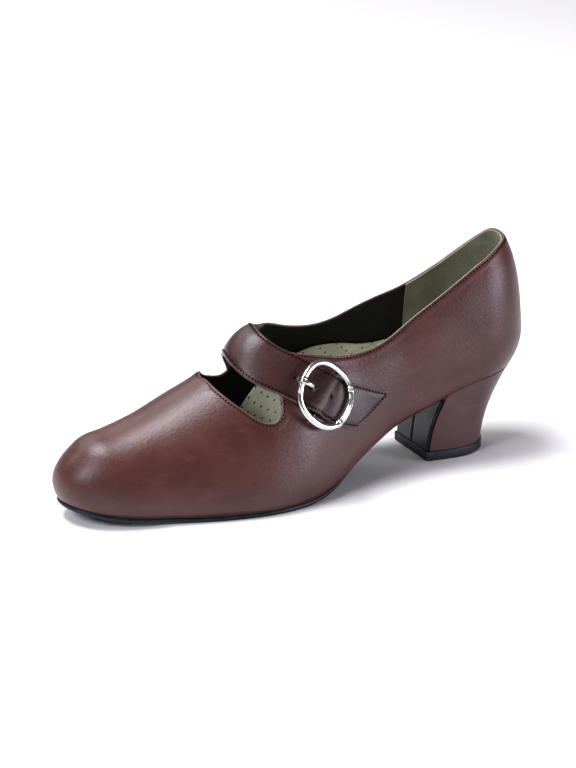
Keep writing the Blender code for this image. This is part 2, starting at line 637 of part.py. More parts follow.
def wire(name, points, radius, closed, shoes):
    """Round wire along points, as a mesh with its caps welded."""
    curve = bpy.data.curves.new(name, "CURVE")
    curve.dimensions = "3D"
    curve.bevel_depth = radius
    curve.bevel_resolution = 2
    curve.use_fill_caps = not closed
    spline = curve.splines.new("POLY")
    spline.points.add(len(points) - 1)
    for point, place in zip(spline.points, np.asarray(points) - ORIGIN):
        point.co = (*place, 1)
    spline.use_cyclic_u = closed
    drawn = bpy.data.objects.new(name + "_curve", curve)
    shoes.objects.link(drawn)
    evaluated = drawn.evaluated_get(bpy.context.evaluated_depsgraph_get())
    mesh = bpy.data.meshes.new_from_object(evaluated)
    bpy.data.objects.remove(drawn)
    work = bmesh.new()
    work.from_mesh(mesh)
    bmesh.ops.remove_doubles(work, verts=work.verts, dist=0.02 * MM)
    bmesh.ops.recalc_face_normals(work, faces=work.faces)
    work.to_mesh(mesh)
    work.free()
    mesh.shade_smooth()
    piece = bpy.data.objects.new(name, mesh)
    shoes.objects.link(piece)
    return piece


def buckle_on_foot(u, v, height):
    """Points above the last, from the buckle's own directions along the strap and its bars."""
    length = BUCKLE_AT + u * math.cos(BUCKLE_TURN) + v * math.sin(BUCKLE_TURN)
    aside = BUCKLE_ASIDE - u * math.sin(BUCKLE_TURN) + v * math.cos(BUCKLE_TURN)
    return over_strap(length, aside, height)


def buckle_plane(u, v, height):
    """Points above the plane that touches the last under the buckle's middle."""
    zero, reach = np.zeros(1), np.full(1, 4 * MM)
    centre = buckle_on_foot(zero, zero, zero)[0]
    along = buckle_on_foot(reach, zero, zero)[0] - buckle_on_foot(-reach, zero, zero)[0]
    off = buckle_on_foot(zero, zero, reach)[0] - centre
    off /= np.linalg.norm(off)
    along -= off * (along @ off)
    along /= np.linalg.norm(along)
    across = np.cross(off, along)
    height = np.asarray(height) - RING_BOW * (v / (RING_HEIGHT / 2)) ** 2
    return (centre + np.asarray(u)[..., None] * along + np.asarray(v)[..., None] * across
            + height[..., None] * off)


def ring_side():
    """Distance of the side bars from the buckle's middle."""
    return (RING_LENGTH - RING_WIRE) / 2


def make_buckle(shoes, cutters):
    """Flat oval ring turned a little on the strap, and the centre bar that dips under it."""
    angle = np.linspace(0, 2 * math.pi, RING_STEPS, endpoint=False)
    roundness = 2 / RING_SQUARENESS
    half = (RING_HEIGHT - RING_WIRE) / 2
    u = ring_side() * np.sign(np.cos(angle)) * abs(np.cos(angle)) ** roundness
    v = half * np.sign(np.sin(angle)) * abs(np.sin(angle)) ** roundness
    piece = wire("buckle_frame", buckle_plane(u, v, RING_LIFT), RING_WIRE / 2, True, shoes)
    reach = half * (1 - abs(BAR_OFFSET / ring_side()) ** RING_SQUARENESS) ** (1 / RING_SQUARENESS)
    across = np.linspace(-reach, reach, BAR_STEPS)
    edge = (STRAP_WIDTH / 2 + BUCKLE_ASIDE) / math.cos(BUCKLE_TURN) + GAP + BAR_WIRE / 2
    climb = np.clip((abs(across) - edge) / (reach - edge), 0, 1)[:, None]
    bar_at = BAR_OFFSET + 0 * across
    low = buckle_on_foot(bar_at, across, GAP + BAR_WIRE / 2 + 0 * across)
    bar = low * (1 - climb) + buckle_plane(bar_at, across, RING_LIFT) * climb
    rod = wire("centre_bar", bar, BAR_WIRE / 2, False, cutters)
    rod.hide_render = True
    rod.display_type = "WIRE"
    join = piece.modifiers.new("Centre bar", "BOOLEAN")
    join.operation = "UNION"
    join.object = rod
    piece.data.materials.clear()
    piece.data.materials.append(make_material("buckle_frame"))
    return piece


def make_prong(shoes):
    """Prong from beside the centre bar, up through its hole and over the front bar."""
    radius = PRONG_WIRE / 2
    hole = BAR_OFFSET - HOLE_FROM_BAR
    front = -ring_side()
    over = RING_LIFT + RING_WIRE / 2 + GAP + radius
    low = GAP + radius
    # One row for each bend: place along the buckle, and share of the climb from low to over
    route = np.array([
        (BAR_OFFSET - BAR_WIRE / 2 - GAP, 0.0), (hole + HOLE_FROM_BAR * 0.45, 0.0),
        (hole + PRONG_WIRE, 0.03), (hole, 0.32), (hole - PRONG_WIRE, 0.66),
        ((hole + front) / 2, 0.93), (front, 1.0), (front - PRONG_OVERHANG, 0.9)])
    position = np.linspace(0, len(route) - 1, PRONG_STEPS)
    u, climb = bends(route, 0, position), bends(route, 1, position)
    height = low + (over - low) * climb
    flat = ease(2 * climb)[:, None]
    path = (buckle_on_foot(u, PRONG_ASIDE + 0 * u, height) * (1 - flat)
            + buckle_plane(u, PRONG_ASIDE + 0 * u, height) * flat)
    piece = wire("buckle_prong", path, radius, False, shoes)
    piece.data.materials.append(make_material("buckle_prong"))
    return piece


def main():
    """Build the shoe's pieces in their collection, and the cutters in another."""
    for old in list(bpy.data.objects):
        bpy.data.objects.remove(old)
    shoes = bpy.data.collections.new("mary_jane_shoe")
    cutters = bpy.data.collections.new("cutters")
    for collection in (shoes, cutters):
        bpy.context.scene.collection.children.link(collection)
    make_upper(shoes)
    make_sole(shoes)
    make_insole(shoes)
    make_heel(shoes)
    make_breast_cover(shoes)
    make_lift(shoes)
    make_strap(shoes, cutters)
    make_buckle(shoes, cutters)
    make_prong(shoes)


main()
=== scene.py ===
"""Looks of a brown leather mary jane for the left foot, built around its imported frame.

Metres, +Z up. The toe points to -X and the outer side, with the buckle, to -Y. Every leather
surface is read from one form, the last: a point of it is given by its way, from the toe tip (0)
to the back seam (1), and its turn, in degrees from the outer feather line (0) over the crest (90)
to the inner feather line (180).
"""

import logging
import math
from dataclasses import dataclass, field
from enum import Enum

import bmesh
import bpy
import numpy as np
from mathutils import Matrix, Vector


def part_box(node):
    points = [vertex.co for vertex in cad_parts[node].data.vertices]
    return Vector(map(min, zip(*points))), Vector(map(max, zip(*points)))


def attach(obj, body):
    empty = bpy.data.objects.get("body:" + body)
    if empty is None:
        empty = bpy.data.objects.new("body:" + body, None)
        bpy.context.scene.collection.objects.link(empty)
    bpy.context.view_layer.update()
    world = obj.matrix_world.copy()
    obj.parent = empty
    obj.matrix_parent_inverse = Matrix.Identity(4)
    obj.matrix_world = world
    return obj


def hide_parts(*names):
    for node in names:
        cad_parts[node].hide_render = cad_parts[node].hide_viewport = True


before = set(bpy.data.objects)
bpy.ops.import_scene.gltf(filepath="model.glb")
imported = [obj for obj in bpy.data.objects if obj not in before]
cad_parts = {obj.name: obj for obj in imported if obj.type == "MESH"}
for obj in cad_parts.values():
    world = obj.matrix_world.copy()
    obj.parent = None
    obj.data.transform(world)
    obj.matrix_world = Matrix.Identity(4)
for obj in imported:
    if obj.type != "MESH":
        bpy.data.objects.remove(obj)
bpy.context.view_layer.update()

LOG = logging.getLogger("mary_jane")
MM = 0.001
TINY = 1e-9
STITCH_PITCH = 1.8 * MM
STITCH_LENGTH = 1.15 * MM
BEAD_STEPS = 6
CREASE = 35
STRAP_SEAM_ROWS = (7, 8)
SMALL_SHARE = 1e-6
Array = np.ndarray


class Side(Enum):
    """Outer or inner half of the shoe, with the sign of its Y direction."""

    OUTER = -1
    INNER = 1


def monotone(where: Array, places: Array, values: Array) -> Array:
    """Monotone cubic curve through the values at their places.

    Args:
        where: Places to read the curve at.
        places: Rising places of the values.
        values: Values that the curve passes through.

    Returns:
        The curve's values, with the same shape as where.
    """
    step = np.diff(places)
    rise = np.diff(values) / step
    mean = (step[1:] * rise[:-1] + step[:-1] * rise[1:]) / (step[1:] + step[:-1])
    most = 3 * np.minimum(abs(rise[:-1]), abs(rise[1:]))
    inner = np.where(rise[:-1] * rise[1:] > 0, np.sign(mean) * np.minimum(abs(mean), most), 0)
    slope = np.concatenate([rise[:1], inner, rise[-1:]])
    row = np.clip(np.searchsorted(places, where) - 1, 0, len(places) - 2)
    t = np.clip((where - places[row]) / step[row], 0, 1)
    return ((1 + 2 * t) * (1 - t) ** 2 * values[row] + t * (1 - t) ** 2 * step[row] * slope[row]
            + t * t * (3 - 2 * t) * values[row + 1] + t * t * (t - 1) * step[row] * slope[row + 1])


def spline(where: Array, values: Array) -> Array:
    """Natural cubic spline through evenly spaced values, smooth in its bend as well.

    The second derivatives solve the usual system of one equation for each inner value.

    Args:
        where: Places to read the curve at, in row numbers.
        values: Values at the row numbers 0, 1, 2 and so on.

    Returns:
        The curve's values, with the same shape as where.
    """
    inner = max(len(values) - 2, 0)
    system = 4 * np.eye(inner) + np.eye(inner, k=1) + np.eye(inner, k=-1)
    bend = np.zeros(len(values))
    bend[1:-1] = np.linalg.solve(system, 6 * np.diff(values, 2))
    row = np.clip(np.floor(where).astype(int), 0, len(values) - 2)
    t = np.clip(where - row, 0, 1)
    return (values[row] * (1 - t) + values[row + 1] * t
            + ((1 - t) ** 3 - (1 - t)) / 6 * bend[row] + (t ** 3 - t) / 6 * bend[row + 1])


def ease(share: Array) -> Array:
    """Smooth step from 0 at 0 to 1 at 1: 3 s^2 - 2 s^3."""
    share = np.clip(share, 0, 1)
    return share * share * (3 - 2 * share)


def bell(distance: Array, width: Array | float) -> Array:
    """Gaussian bell: 1 at no distance, falling over the width."""
    return np.exp(-(distance / width) ** 2)


def unit(vectors: Array) -> Array:
    """Vectors divided by their lengths."""
    return vectors / np.maximum(np.linalg.norm(vectors, axis=-1, keepdims=True), TINY)


@dataclass(frozen=True)
class Chart:
    """A short table with named columns, read as smooth curves between its rows.

    Where the first column holds the places, the curve is a monotone cubic, averaged over a
    small window that closes at both ends. Otherwise it is a spline over the row numbers, which
    may turn sharply at the rows given as corners.
    """

    columns: tuple[str, ...]
    rows: tuple[tuple[float, ...], ...]
    window: float | None = None
    corners: tuple[int, ...] = ()

    def read(self, name: str, where: Array) -> Array:
        """One column at the given places.

        Args:
            name: Column's name.
            where: Places, in the first column's terms or in row numbers.

        Returns:
            The column's values there.
        """
        where = np.asarray(where, float)
        table = np.array(self.rows, float)
        values = table[:, self.columns.index(name)]
        if self.window is None:
            ends = (0, *self.corners, len(values) - 1)
            curve = np.zeros_like(where)
            for first, final in zip(ends[:-1], ends[1:]):
                inside = (where >= first) & (where <= final)
                curve = np.where(inside, spline(where - first, values[first:final + 1]), curve)
            return curve
        places = table[:, 0]
        reach = np.clip(np.minimum(where - places[0], places[-1] - where), 0, self.window)
        total = np.zeros_like(where)
        for offset, weight in ((-1.0, 0.1), (-0.5, 0.2), (0.0, 0.4), (0.5, 0.2), (1.0, 0.1)):
            total = total + weight * monotone(where + offset * reach, places, values)
        return total


SECTIONS = Chart(
    ("along", "seat", "spring", "arch", "lateral", "medial", "ridge", "crest", "power", "tuck",
     "tuck_rise"),
    ((0.00, 0.00, 1.00, 0.000, 0.381, 0.333, -0.071, 0.375, 2.35, 0.27, 0.41),
     (0.08, 0.00, 0.50, 0.000, 0.363, 0.327, -0.071, 0.412, 2.30, 0.27, 0.47),
     (0.16, 0.00, 0.19, 0.000, 0.372, 0.357, -0.069, 0.504, 2.15, 0.27, 0.47),
     (0.24, 0.00, 0.03, 0.000, 0.444, 0.434, -0.062, 0.625, 2.00, 0.27, 0.47),
     (0.31, 0.00, 0.00, 0.000, 0.503, 0.476, -0.054, 0.728, 1.85, 0.27, 0.47),
     (0.40, 0.00, 0.00, 0.000, 0.546, 0.462, -0.038, 0.906, 1.80, 0.36, 0.53),
     (0.46, 0.00, 0.00, 0.004, 0.538, 0.418, -0.024, 1.000, 1.85, 0.50, 0.59),
     (0.52, 0.10, 0.00, 0.052, 0.494, 0.362, -0.012, 0.987, 1.90, 0.66, 0.65),
     (0.60, 0.30, 0.00, 0.264, 0.434, 0.327, 0.000, 0.930, 2.00, 0.80, 0.71),
     (0.68, 0.60, 0.00, 0.535, 0.432, 0.355, 0.000, 0.883, 2.20, 0.82, 0.76),
     (0.76, 0.85, 0.00, 0.714, 0.475, 0.430, 0.000, 0.924, 2.40, 0.82, 0.82),
     (0.84, 1.00, 0.00, 0.867, 0.505, 0.488, 0.000, 1.000, 2.50, 0.85, 0.88),
     (0.92, 1.00, 0.00, 0.960, 0.505, 0.492, 0.000, 1.020, 2.60, 0.91, 1.00),
     (1.00, 1.00, 0.00, 1.000, 0.505, 0.492, 0.000, 1.000, 2.80, 1.00, 1.00)),
    window=0.03)

TOPLINES = {
    Side.OUTER: Chart(
        ("way", "turn", "foot"),
        ((0.288, 90.0, 0.288), (0.291, 83.5, 0.291), (0.295, 73.5, 0.295), (0.307, 62.2, 0.306),
         (0.322, 53.0, 0.320), (0.342, 43.8, 0.339), (0.359, 38.9, 0.356), (0.375, 37.0, 0.373),
         (0.388, 38.4, 0.386), (0.396, 43.0, 0.396), (0.396, 51.0, 0.402), (0.400, 60.5, 0.410),
         (0.411, 65.3, 0.421), (0.426, 65.0, 0.433), (0.443, 62.0, 0.447), (0.470, 58.6, 0.472),
         (0.508, 54.0, 0.508), (0.545, 49.0, 0.545), (0.600, 43.9, 0.600), (0.650, 42.8, 0.650),
         (0.700, 44.5, 0.700), (0.761, 45.4, 0.761), (0.807, 46.7, 0.807), (0.852, 49.2, 0.852),
         (0.902, 51.2, 0.902), (0.955, 52.5, 0.955), (1.000, 52.9, 1.000))),
    Side.INNER: Chart(
        ("way", "turn", "foot"),
        ((0.288, 90.0, 0.288), (0.291, 83.5, 0.291), (0.299, 77.0, 0.299), (0.315, 63.5, 0.315),
         (0.333, 52.5, 0.333), (0.356, 45.1, 0.356), (0.376, 41.7, 0.376), (0.389, 42.5, 0.391),
         (0.436, 74.0, 0.436), (0.452, 70.4, 0.452), (0.469, 66.8, 0.469), (0.488, 63.2, 0.488),
         (0.515, 58.8, 0.515), (0.553, 53.6, 0.553), (0.595, 49.9, 0.595), (0.636, 47.4, 0.636),
         (0.682, 43.2, 0.682), (0.727, 38.6, 0.727), (0.773, 35.3, 0.773), (0.818, 35.0, 0.818),
         (0.864, 37.4, 0.864), (0.909, 43.2, 0.909), (0.955, 50.3, 0.955), (0.980, 52.4, 0.980),
         (1.000, 52.9, 1.000)), corners=STRAP_SEAM_ROWS),
}

STRAP_PATH = Chart(
    ("way", "turn", "width", "raise"),
    ((0.419, 126.5, 1.00, 0.0), (0.396, 115.0, 1.00, 0.3), (0.380, 102.5, 0.95, 0.8),
     (0.371, 90.0, 0.92, 1.0), (0.370, 78.5, 0.95, 0.8), (0.380, 68.0, 1.00, 0.4),
     (0.399, 59.3, 1.00, 0.1), (0.423, 51.8, 1.00, 0.0), (0.452, 44.4, 1.00, 0.0),
     (0.483, 37.6, 1.00, 0.0), (0.517, 31.1, 1.00, 0.0), (0.555, 24.5, 0.97, 0.0),
     (0.620, 13.5, 0.80, 0.0)))

SOCK_HEIGHTS = Chart(
    ("from_toe", "height"),
    ((100.0, 10.5), (106.0, 18.0), (112.0, 27.7), (118.7, 39.0), (128.0, 50.0), (139.0, 56.0),
     (149.0, 58.0), (162.0, 57.0), (175.0, 54.0), (186.0, 53.0), (205.0, 53.0), (253.0, 54.5)),
    window=3.0)


@dataclass(frozen=True)
class Last:
    """The form of the foot that the shoe is made on, in the part's frame."""

    length: float = 253 * MM
    ball_width: float = 84 * MM
    heel_width: float = 59 * MM
    instep_height: float = 80 * MM
    collar_height: float = 75 * MM
    seat_height: float = 46 * MM
    toe_spring: float = 8 * MM
    toe_side_round: float = 42 * MM
    toe_top_round: float = 21 * MM
    toe_bulge: float = 3 * MM
    toe_bulge_height: float = 24 * MM
    toe_bulge_length: float = 30 * MM
    feather_tuck: float = 5.5 * MM
    tuck_height: float = 17 * MM
    heel_round: float = 31 * MM
    heel_turn_start: float = 0.841
    ground_gap: float = 3.0 * MM
    lift_from_back: float = 20.2 * MM
    way_length: float = 264 * MM
    end_margin: float = 0.002
    uv_reach: float = 0.25

    @property
    def origin(self) -> Array:
        """Part origin in the last's own coordinates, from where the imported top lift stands."""
        low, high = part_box("top_lift")
        return np.array([self.length - self.lift_from_back - high.x, -(low.y + high.y) / 2, 0])

    def section(self, name: str, along: Array) -> Array:
        """A column of the section chart at shares of the length."""
        return SECTIONS.read(name, along)

    def floor(self, x: Array) -> Array:
        """Height of the feather line at x from the toe tip: ball level, toe spring and arch."""
        along = np.clip(x / self.length, 0, 1)
        raised = (self.seat_height - self.ground_gap) * self.section("arch", along)
        return self.ground_gap + self.toe_spring * self.section("spring", along) + raised

    def half(self, way: Array, turn: Array, side: Side) -> Array:
        """Points of one half, in the last's own coordinates.

        Each section is a superellipse quarter whose half width and height come from the chart,
        closed by ellipse arcs at the toe and turned about the heel's middle at the back.

        Args:
            way: Share of the way from the toe tip to the back seam.
            turn: Degrees up from this side's feather line, at most 90.
            side: Outer or inner half.

        Returns:
            Points with a last axis of three.
        """
        way, turn = np.broadcast_arrays(np.asarray(way, float), np.asarray(turn, float))
        behind = np.clip((way - self.heel_turn_start) / (1 - self.heel_turn_start), 0, 1)
        swing = behind * math.pi / 2
        straight = np.clip(way / self.heel_turn_start, 0, 1) * (self.length - self.heel_round)
        along = (straight + self.heel_round * np.sin(swing)) / self.length
        seat = self.section("seat", along)
        wide = self.ball_width * (1 - seat) + self.heel_width * seat
        tall = self.instep_height * (1 - seat) + self.collar_height * seat
        toe_side = np.sqrt(1 - np.clip(1 - straight / self.toe_side_round, 0, 1) ** 2)
        toe_top = np.sqrt(1 - np.clip(1 - straight / self.toe_top_round, 0, 1) ** 2)
        power = self.section("power", along)
        across, up = np.cos(np.radians(turn)), np.sin(np.radians(turn))
        bow = (abs(across) ** power + abs(up) ** power) ** (-1 / power)
        height = tall * self.section("crest", along) * toe_top * bow * up
        column = "lateral" if side is Side.OUTER else "medial"
        half = wide * self.section(column, along) * toe_side
        half = 1 / np.hypot(np.sin(swing) / self.heel_round, np.cos(swing) / np.maximum(half, TINY))
        tuck_height = self.tuck_height * self.section("tuck_rise", along)
        tuck_height = tuck_height * np.maximum(toe_top, SMALL_SHARE)
        tuck = self.feather_tuck * self.section("tuck", along) * toe_side
        reach = half * bow * across - tuck * np.clip(1 - height / tuck_height, 0, 1) ** 2 * across
        bulge = self.toe_bulge * np.sin(math.pi * np.clip(height / self.toe_bulge_height, 0, 1))
        bulge = bulge * np.clip(1 - straight / self.toe_bulge_length, 0, 1) ** 2
        x = straight + reach * np.sin(swing) - bulge
        y = self.ball_width * self.section("ridge", along) + side.value * reach * np.cos(swing)
        return np.stack([x, y, self.floor(along * self.length) + height], -1)

    def point(self, way: Array, turn: Array) -> Array:
        """Points of the whole form in the part's frame; turn runs from 0 to 180."""
        way, turn = np.broadcast_arrays(np.asarray(way, float), np.asarray(turn, float))
        outer = self.half(way, np.minimum(turn, 90), Side.OUTER)
        inner = self.half(way, np.minimum(180 - turn, 90), Side.INNER)
        return np.where((turn <= 90)[..., None], outer, inner) - self.origin

    def slopes(self, way: Array, turn: Array) -> tuple[Array, Array, Array]:
        """Change of the point with way and with turn by central differences, and the normal."""
        small_way, small_turn = 4e-4, 0.2
        by_way = self.point(way + small_way, turn) - self.point(way - small_way, turn)
        by_turn = self.point(way, turn + small_turn) - self.point(way, turn - small_turn)
        normal = unit(np.cross(by_way, by_turn))
        return by_way / (2 * small_way), by_turn / (2 * small_turn), normal

    def normal(self, way: Array, turn: Array) -> Array:
        """Outward direction, read a little inside the two ends of the way."""
        return self.slopes(np.clip(way, self.end_margin, 1 - self.end_margin), turn)[2]

    def above(self, way: Array, turn: Array, height: Array) -> Array:
        """Points at a height over the form."""
        return self.point(way, turn) + np.asarray(height)[..., None] * self.slopes(way, turn)[2]

    def surface_uv(self, way: Array, turn: Array) -> Array:
        """Way and turn as a UV of about the surface's own size."""
        return np.stack([way, turn / 180], -1) * self.uv_reach

    def walk(self, way: Array, turn: Array, heading: Array, distance: Array) -> tuple[Array, Array]:
        """Way and turn reached from a start by walking over the surface.

        Each small step solves the two surface slopes for the step's vector.

        Args:
            way: Starting ways.
            turn: Starting turns.
            heading: Function of the normal's array that gives the direction to walk in.
            distance: Distance to walk, in metres.

        Returns:
            Ways and turns of the end points.
        """
        way, turn, distance = np.broadcast_arrays(way, turn, distance)
        pieces = 6
        for _ in range(pieces):
            by_way, by_turn, normal = self.slopes(way, turn)
            step = unit(heading(normal)) * (distance / pieces)[..., None]
            ww, wt, tt = (by_way ** 2).sum(-1), (by_way * by_turn).sum(-1), (by_turn ** 2).sum(-1)
            sw, st = (step * by_way).sum(-1), (step * by_turn).sum(-1)
            det = np.maximum(ww * tt - wt ** 2, 1e-12)
            way = way + (sw * tt - st * wt) / det
            turn = turn + (st * ww - sw * wt) / det
        return way, turn


def grid_faces(rows: int, columns: int, start: int = 0, ring: bool = False,
               flip: bool = False) -> Array:
    """Quads between the neighbours of a grid stored row by row.

    Args:
        rows: Number of rows.
        columns: Number of points in a row.
        start: Index of the grid's first point.
        ring: Whether each row closes on itself.
        flip: Whether to turn the faces over.

    Returns:
        Indices with four columns.
    """
    r = np.arange(rows - 1)[:, None]
    c = np.arange(columns if ring else columns - 1)[None, :]
    ahead = (c + 1) % columns
    quads = np.stack([r * columns + c, r * columns + ahead, (r + 1) * columns + ahead,
                      (r + 1) * columns + c], -1).reshape(-1, 4) + start
    return quads[:, ::-1] if flip else quads


@dataclass
class Sheet:
    """Points, faces, UVs and masks that go into one mesh."""

    points: list[Array] = field(default_factory=list)
    faces: list[Array] = field(default_factory=list)
    uvs: list[Array] = field(default_factory=list)
    masks: dict[str, list[Array]] = field(default_factory=dict)
    count: int = 0

    def add(self, grid: Array, uv: Array | None = None, ring: bool = False, flip: bool = False,
            **masks: Array) -> "Sheet":
        """Adds one grid of points, with its own UV and masks.

        Args:
            grid: Points, rows by columns by three.
            uv: Two numbers for each point, in metres.
            ring: Whether each row closes on itself.
            flip: Whether to turn the faces over.
            **masks: One number for each point, by attribute name.

        Returns:
            The sheet itself.
        """
        rows, columns = grid.shape[:2]
        self.points.append(grid.reshape(-1, 3))
        self.faces.append(grid_faces(rows, columns, self.count, ring, flip))
        uv = grid[..., :2] if uv is None else uv
        self.uvs.append(np.asarray(uv).reshape(-1, 2))
        for name, values in masks.items():
            spread = np.broadcast_to(values, grid.shape[:2]).reshape(-1)
            self.masks.setdefault(name, []).append(spread)
        self.count += rows * columns
        return self

    def build(self, name: str, material: bpy.types.Material, solid: bool = True,
              sharp: float | None = None) -> bpy.types.Object:
        """Makes the object: doubles merged, normals outward, shaded smooth.

        Args:
            name: The piece's name.
            material: Its material.
            solid: Whether it is a closed body, whose volume tells which way its faces point.
            sharp: Degrees from which an edge is sharp, or None.

        Returns:
            The object, linked and riding on the root body.
        """
        mesh = bpy.data.meshes.new(name)
        faces = [tuple(quad) for quad in np.concatenate(self.faces).tolist()]
        mesh.from_pydata(np.concatenate(self.points).tolist(), [], faces)
        layer = mesh.uv_layers.new(name="Surface")
        corner = np.empty(len(mesh.loops), int)
        mesh.loops.foreach_get("vertex_index", corner)
        layer.data.foreach_set("uv", np.concatenate(self.uvs)[corner].astype(np.float32).ravel())
        for mask, values in self.masks.items():
            store = mesh.attributes.new(mask, "FLOAT", "POINT")
            store.data.foreach_set("value", np.concatenate(values).astype(np.float32))
        work = bmesh.new()
        work.from_mesh(mesh)
        bmesh.ops.remove_doubles(work, verts=work.verts, dist=0.004 * MM)
        bmesh.ops.dissolve_degenerate(work, edges=work.edges, dist=0.002 * MM)
        if solid:
            bmesh.ops.recalc_face_normals(work, faces=work.faces)
            if work.calc_volume(signed=True) < 0:
                bmesh.ops.reverse_faces(work, faces=work.faces)
        work.to_mesh(mesh)
        work.free()
        mesh.shade_smooth()
        if sharp is not None:
            mesh.set_sharp_from_angle(angle=math.radians(sharp))
        mesh.materials.append(material)
        piece = bpy.data.objects.new(name, mesh)
        bpy.context.scene.collection.objects.link(piece)
        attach(piece, "root")
        LOG.info("%s: %d faces", name, len(mesh.polygons))
        return piece


class Signal:
    """One output socket, with arithmetic that adds Math nodes."""

    def __init__(self, graph: "Graph", socket: bpy.types.NodeSocket) -> None:
        """Keeps the graph and the socket."""
        self.graph = graph
        self.socket = socket

    def math(self, operation: str, *others: "Signal | float", first: bool = True) -> "Signal":
        """A Math node of this signal and others; first says whether this one comes first."""
        parts = (self, *others) if first else (*others, self)
        node = self.graph.add("ShaderNodeMath", {"operation": operation}, dict(enumerate(parts)))
        return Signal(self.graph, node.outputs[0])

    def __add__(self, other: "Signal | float") -> "Signal":
        """Sum."""
        return self.math("ADD", other)

    def __sub__(self, other: "Signal | float") -> "Signal":
        """Difference."""
        return self.math("SUBTRACT", other)

    def __rsub__(self, other: float) -> "Signal":
        """A number minus the signal."""
        return self.math("SUBTRACT", other, first=False)

    def __mul__(self, other: "Signal | float") -> "Signal":
        """Product."""
        return self.math("MULTIPLY", other)

    def __truediv__(self, other: "Signal | float") -> "Signal":
        """Quotient."""
        return self.math("DIVIDE", other)

    def step(self, low: float, high: float) -> "Signal":
        """Smooth step from 0 at low to 1 at high."""
        node = self.graph.add("ShaderNodeMapRange", {"interpolation_type": "SMOOTHSTEP"},
                              {0: self, 1: low, 2: high, 3: 0.0, 4: 1.0})
        return Signal(self.graph, node.outputs[0])


class Graph:
    """Node tree of one material around its Principled shader."""

    def __init__(self, name: str) -> None:
        """Makes the material and keeps its shader and coordinates."""
        self.material = bpy.data.materials.new(name)
        self.material.use_nodes = True
        self.tree = self.material.node_tree
        self.shader = self.tree.nodes["Principled BSDF"]
        coordinates = self.add("ShaderNodeTexCoord")
        self.place = Signal(self, coordinates.outputs["Object"])
        self.uv = Signal(self, coordinates.outputs["UV"])

    def add(self, kind: str, settings: dict | None = None,
            inputs: dict | None = None) -> bpy.types.Node:
        """Adds a node, sets its settings first and then fills its sockets.

        Args:
            kind: Node type.
            settings: Attribute values by name.
            inputs: Values or signals by socket name or number.

        Returns:
            The node.
        """
        node = self.tree.nodes.new(kind)
        for key, value in (settings or {}).items():
            setattr(node, key, value)
        for key, value in (inputs or {}).items():
            self.feed(node.inputs[key], value)
        return node

    def feed(self, socket: bpy.types.NodeSocket, value: "Signal | float | tuple") -> None:
        """Links a signal to a socket, or sets its value."""
        if isinstance(value, Signal):
            self.tree.links.new(value.socket, socket)
        elif isinstance(value, tuple) and len(value) == 3 and len(socket.default_value) == 4:
            socket.default_value = (*value, 1)
        else:
            socket.default_value = value

    def mask(self, name: str) -> Signal:
        """A number stored on the mesh."""
        node = self.add("ShaderNodeAttribute", {"attribute_name": name})
        return Signal(self, node.outputs["Fac"])

    def noise(self, scale: float, detail: float = 3.0, rough: float = 0.5,
              stretch: tuple[float, float, float] = (1, 1, 1)) -> Signal:
        """Noise at a scale per metre, stretched along the axes.

        Args:
            scale: Repeats per metre.
            detail: Octaves.
            rough: Weight of the finer octaves.
            stretch: Factor on each coordinate.

        Returns:
            The noise, between 0 and 1.
        """
        mapping = self.add("ShaderNodeMapping", {"vector_type": "POINT"},
                           {"Vector": self.place, "Scale": stretch})
        node = self.add("ShaderNodeTexNoise", {"noise_dimensions": "3D"},
                        {"Vector": Signal(self, mapping.outputs[0]), "Scale": scale,
                         "Detail": detail, "Roughness": rough})
        return Signal(self, node.outputs[0])

    def cells(self, scale: float, feature: str = "F1") -> Signal:
        """Distance inside Voronoi cells at a scale per metre."""
        node = self.add("ShaderNodeTexVoronoi", {"feature": feature},
                        {"Vector": self.place, "Scale": scale})
        return Signal(self, node.outputs["Distance"])

    def mix(self, share: "Signal | float", first: "Signal | tuple",
            second: "Signal | tuple") -> Signal:
        """Colour between two colours, at a share."""
        node = self.add("ShaderNodeMix", {"data_type": "RGBA"}, {0: share, 6: first, 7: second})
        return Signal(self, node.outputs[2])

    def bump(self, height: Signal, distance: float, strength: float = 1.0) -> Signal:
        """Normal bumped by a height between 0 and 1 times a distance in metres."""
        node = self.add("ShaderNodeBump", {},
                        {"Strength": strength, "Distance": distance, "Height": height})
        return Signal(self, node.outputs[0])

    def surface(self, **inputs: "Signal | float | tuple") -> bpy.types.Material:
        """Fills the shader's sockets, with spaces written as underscores.

        Args:
            **inputs: Values or signals, such as Base_Color.

        Returns:
            The finished material.
        """
        for key, value in inputs.items():
            self.feed(self.shader.inputs[key.replace("_", " ")], value)
        return self.material


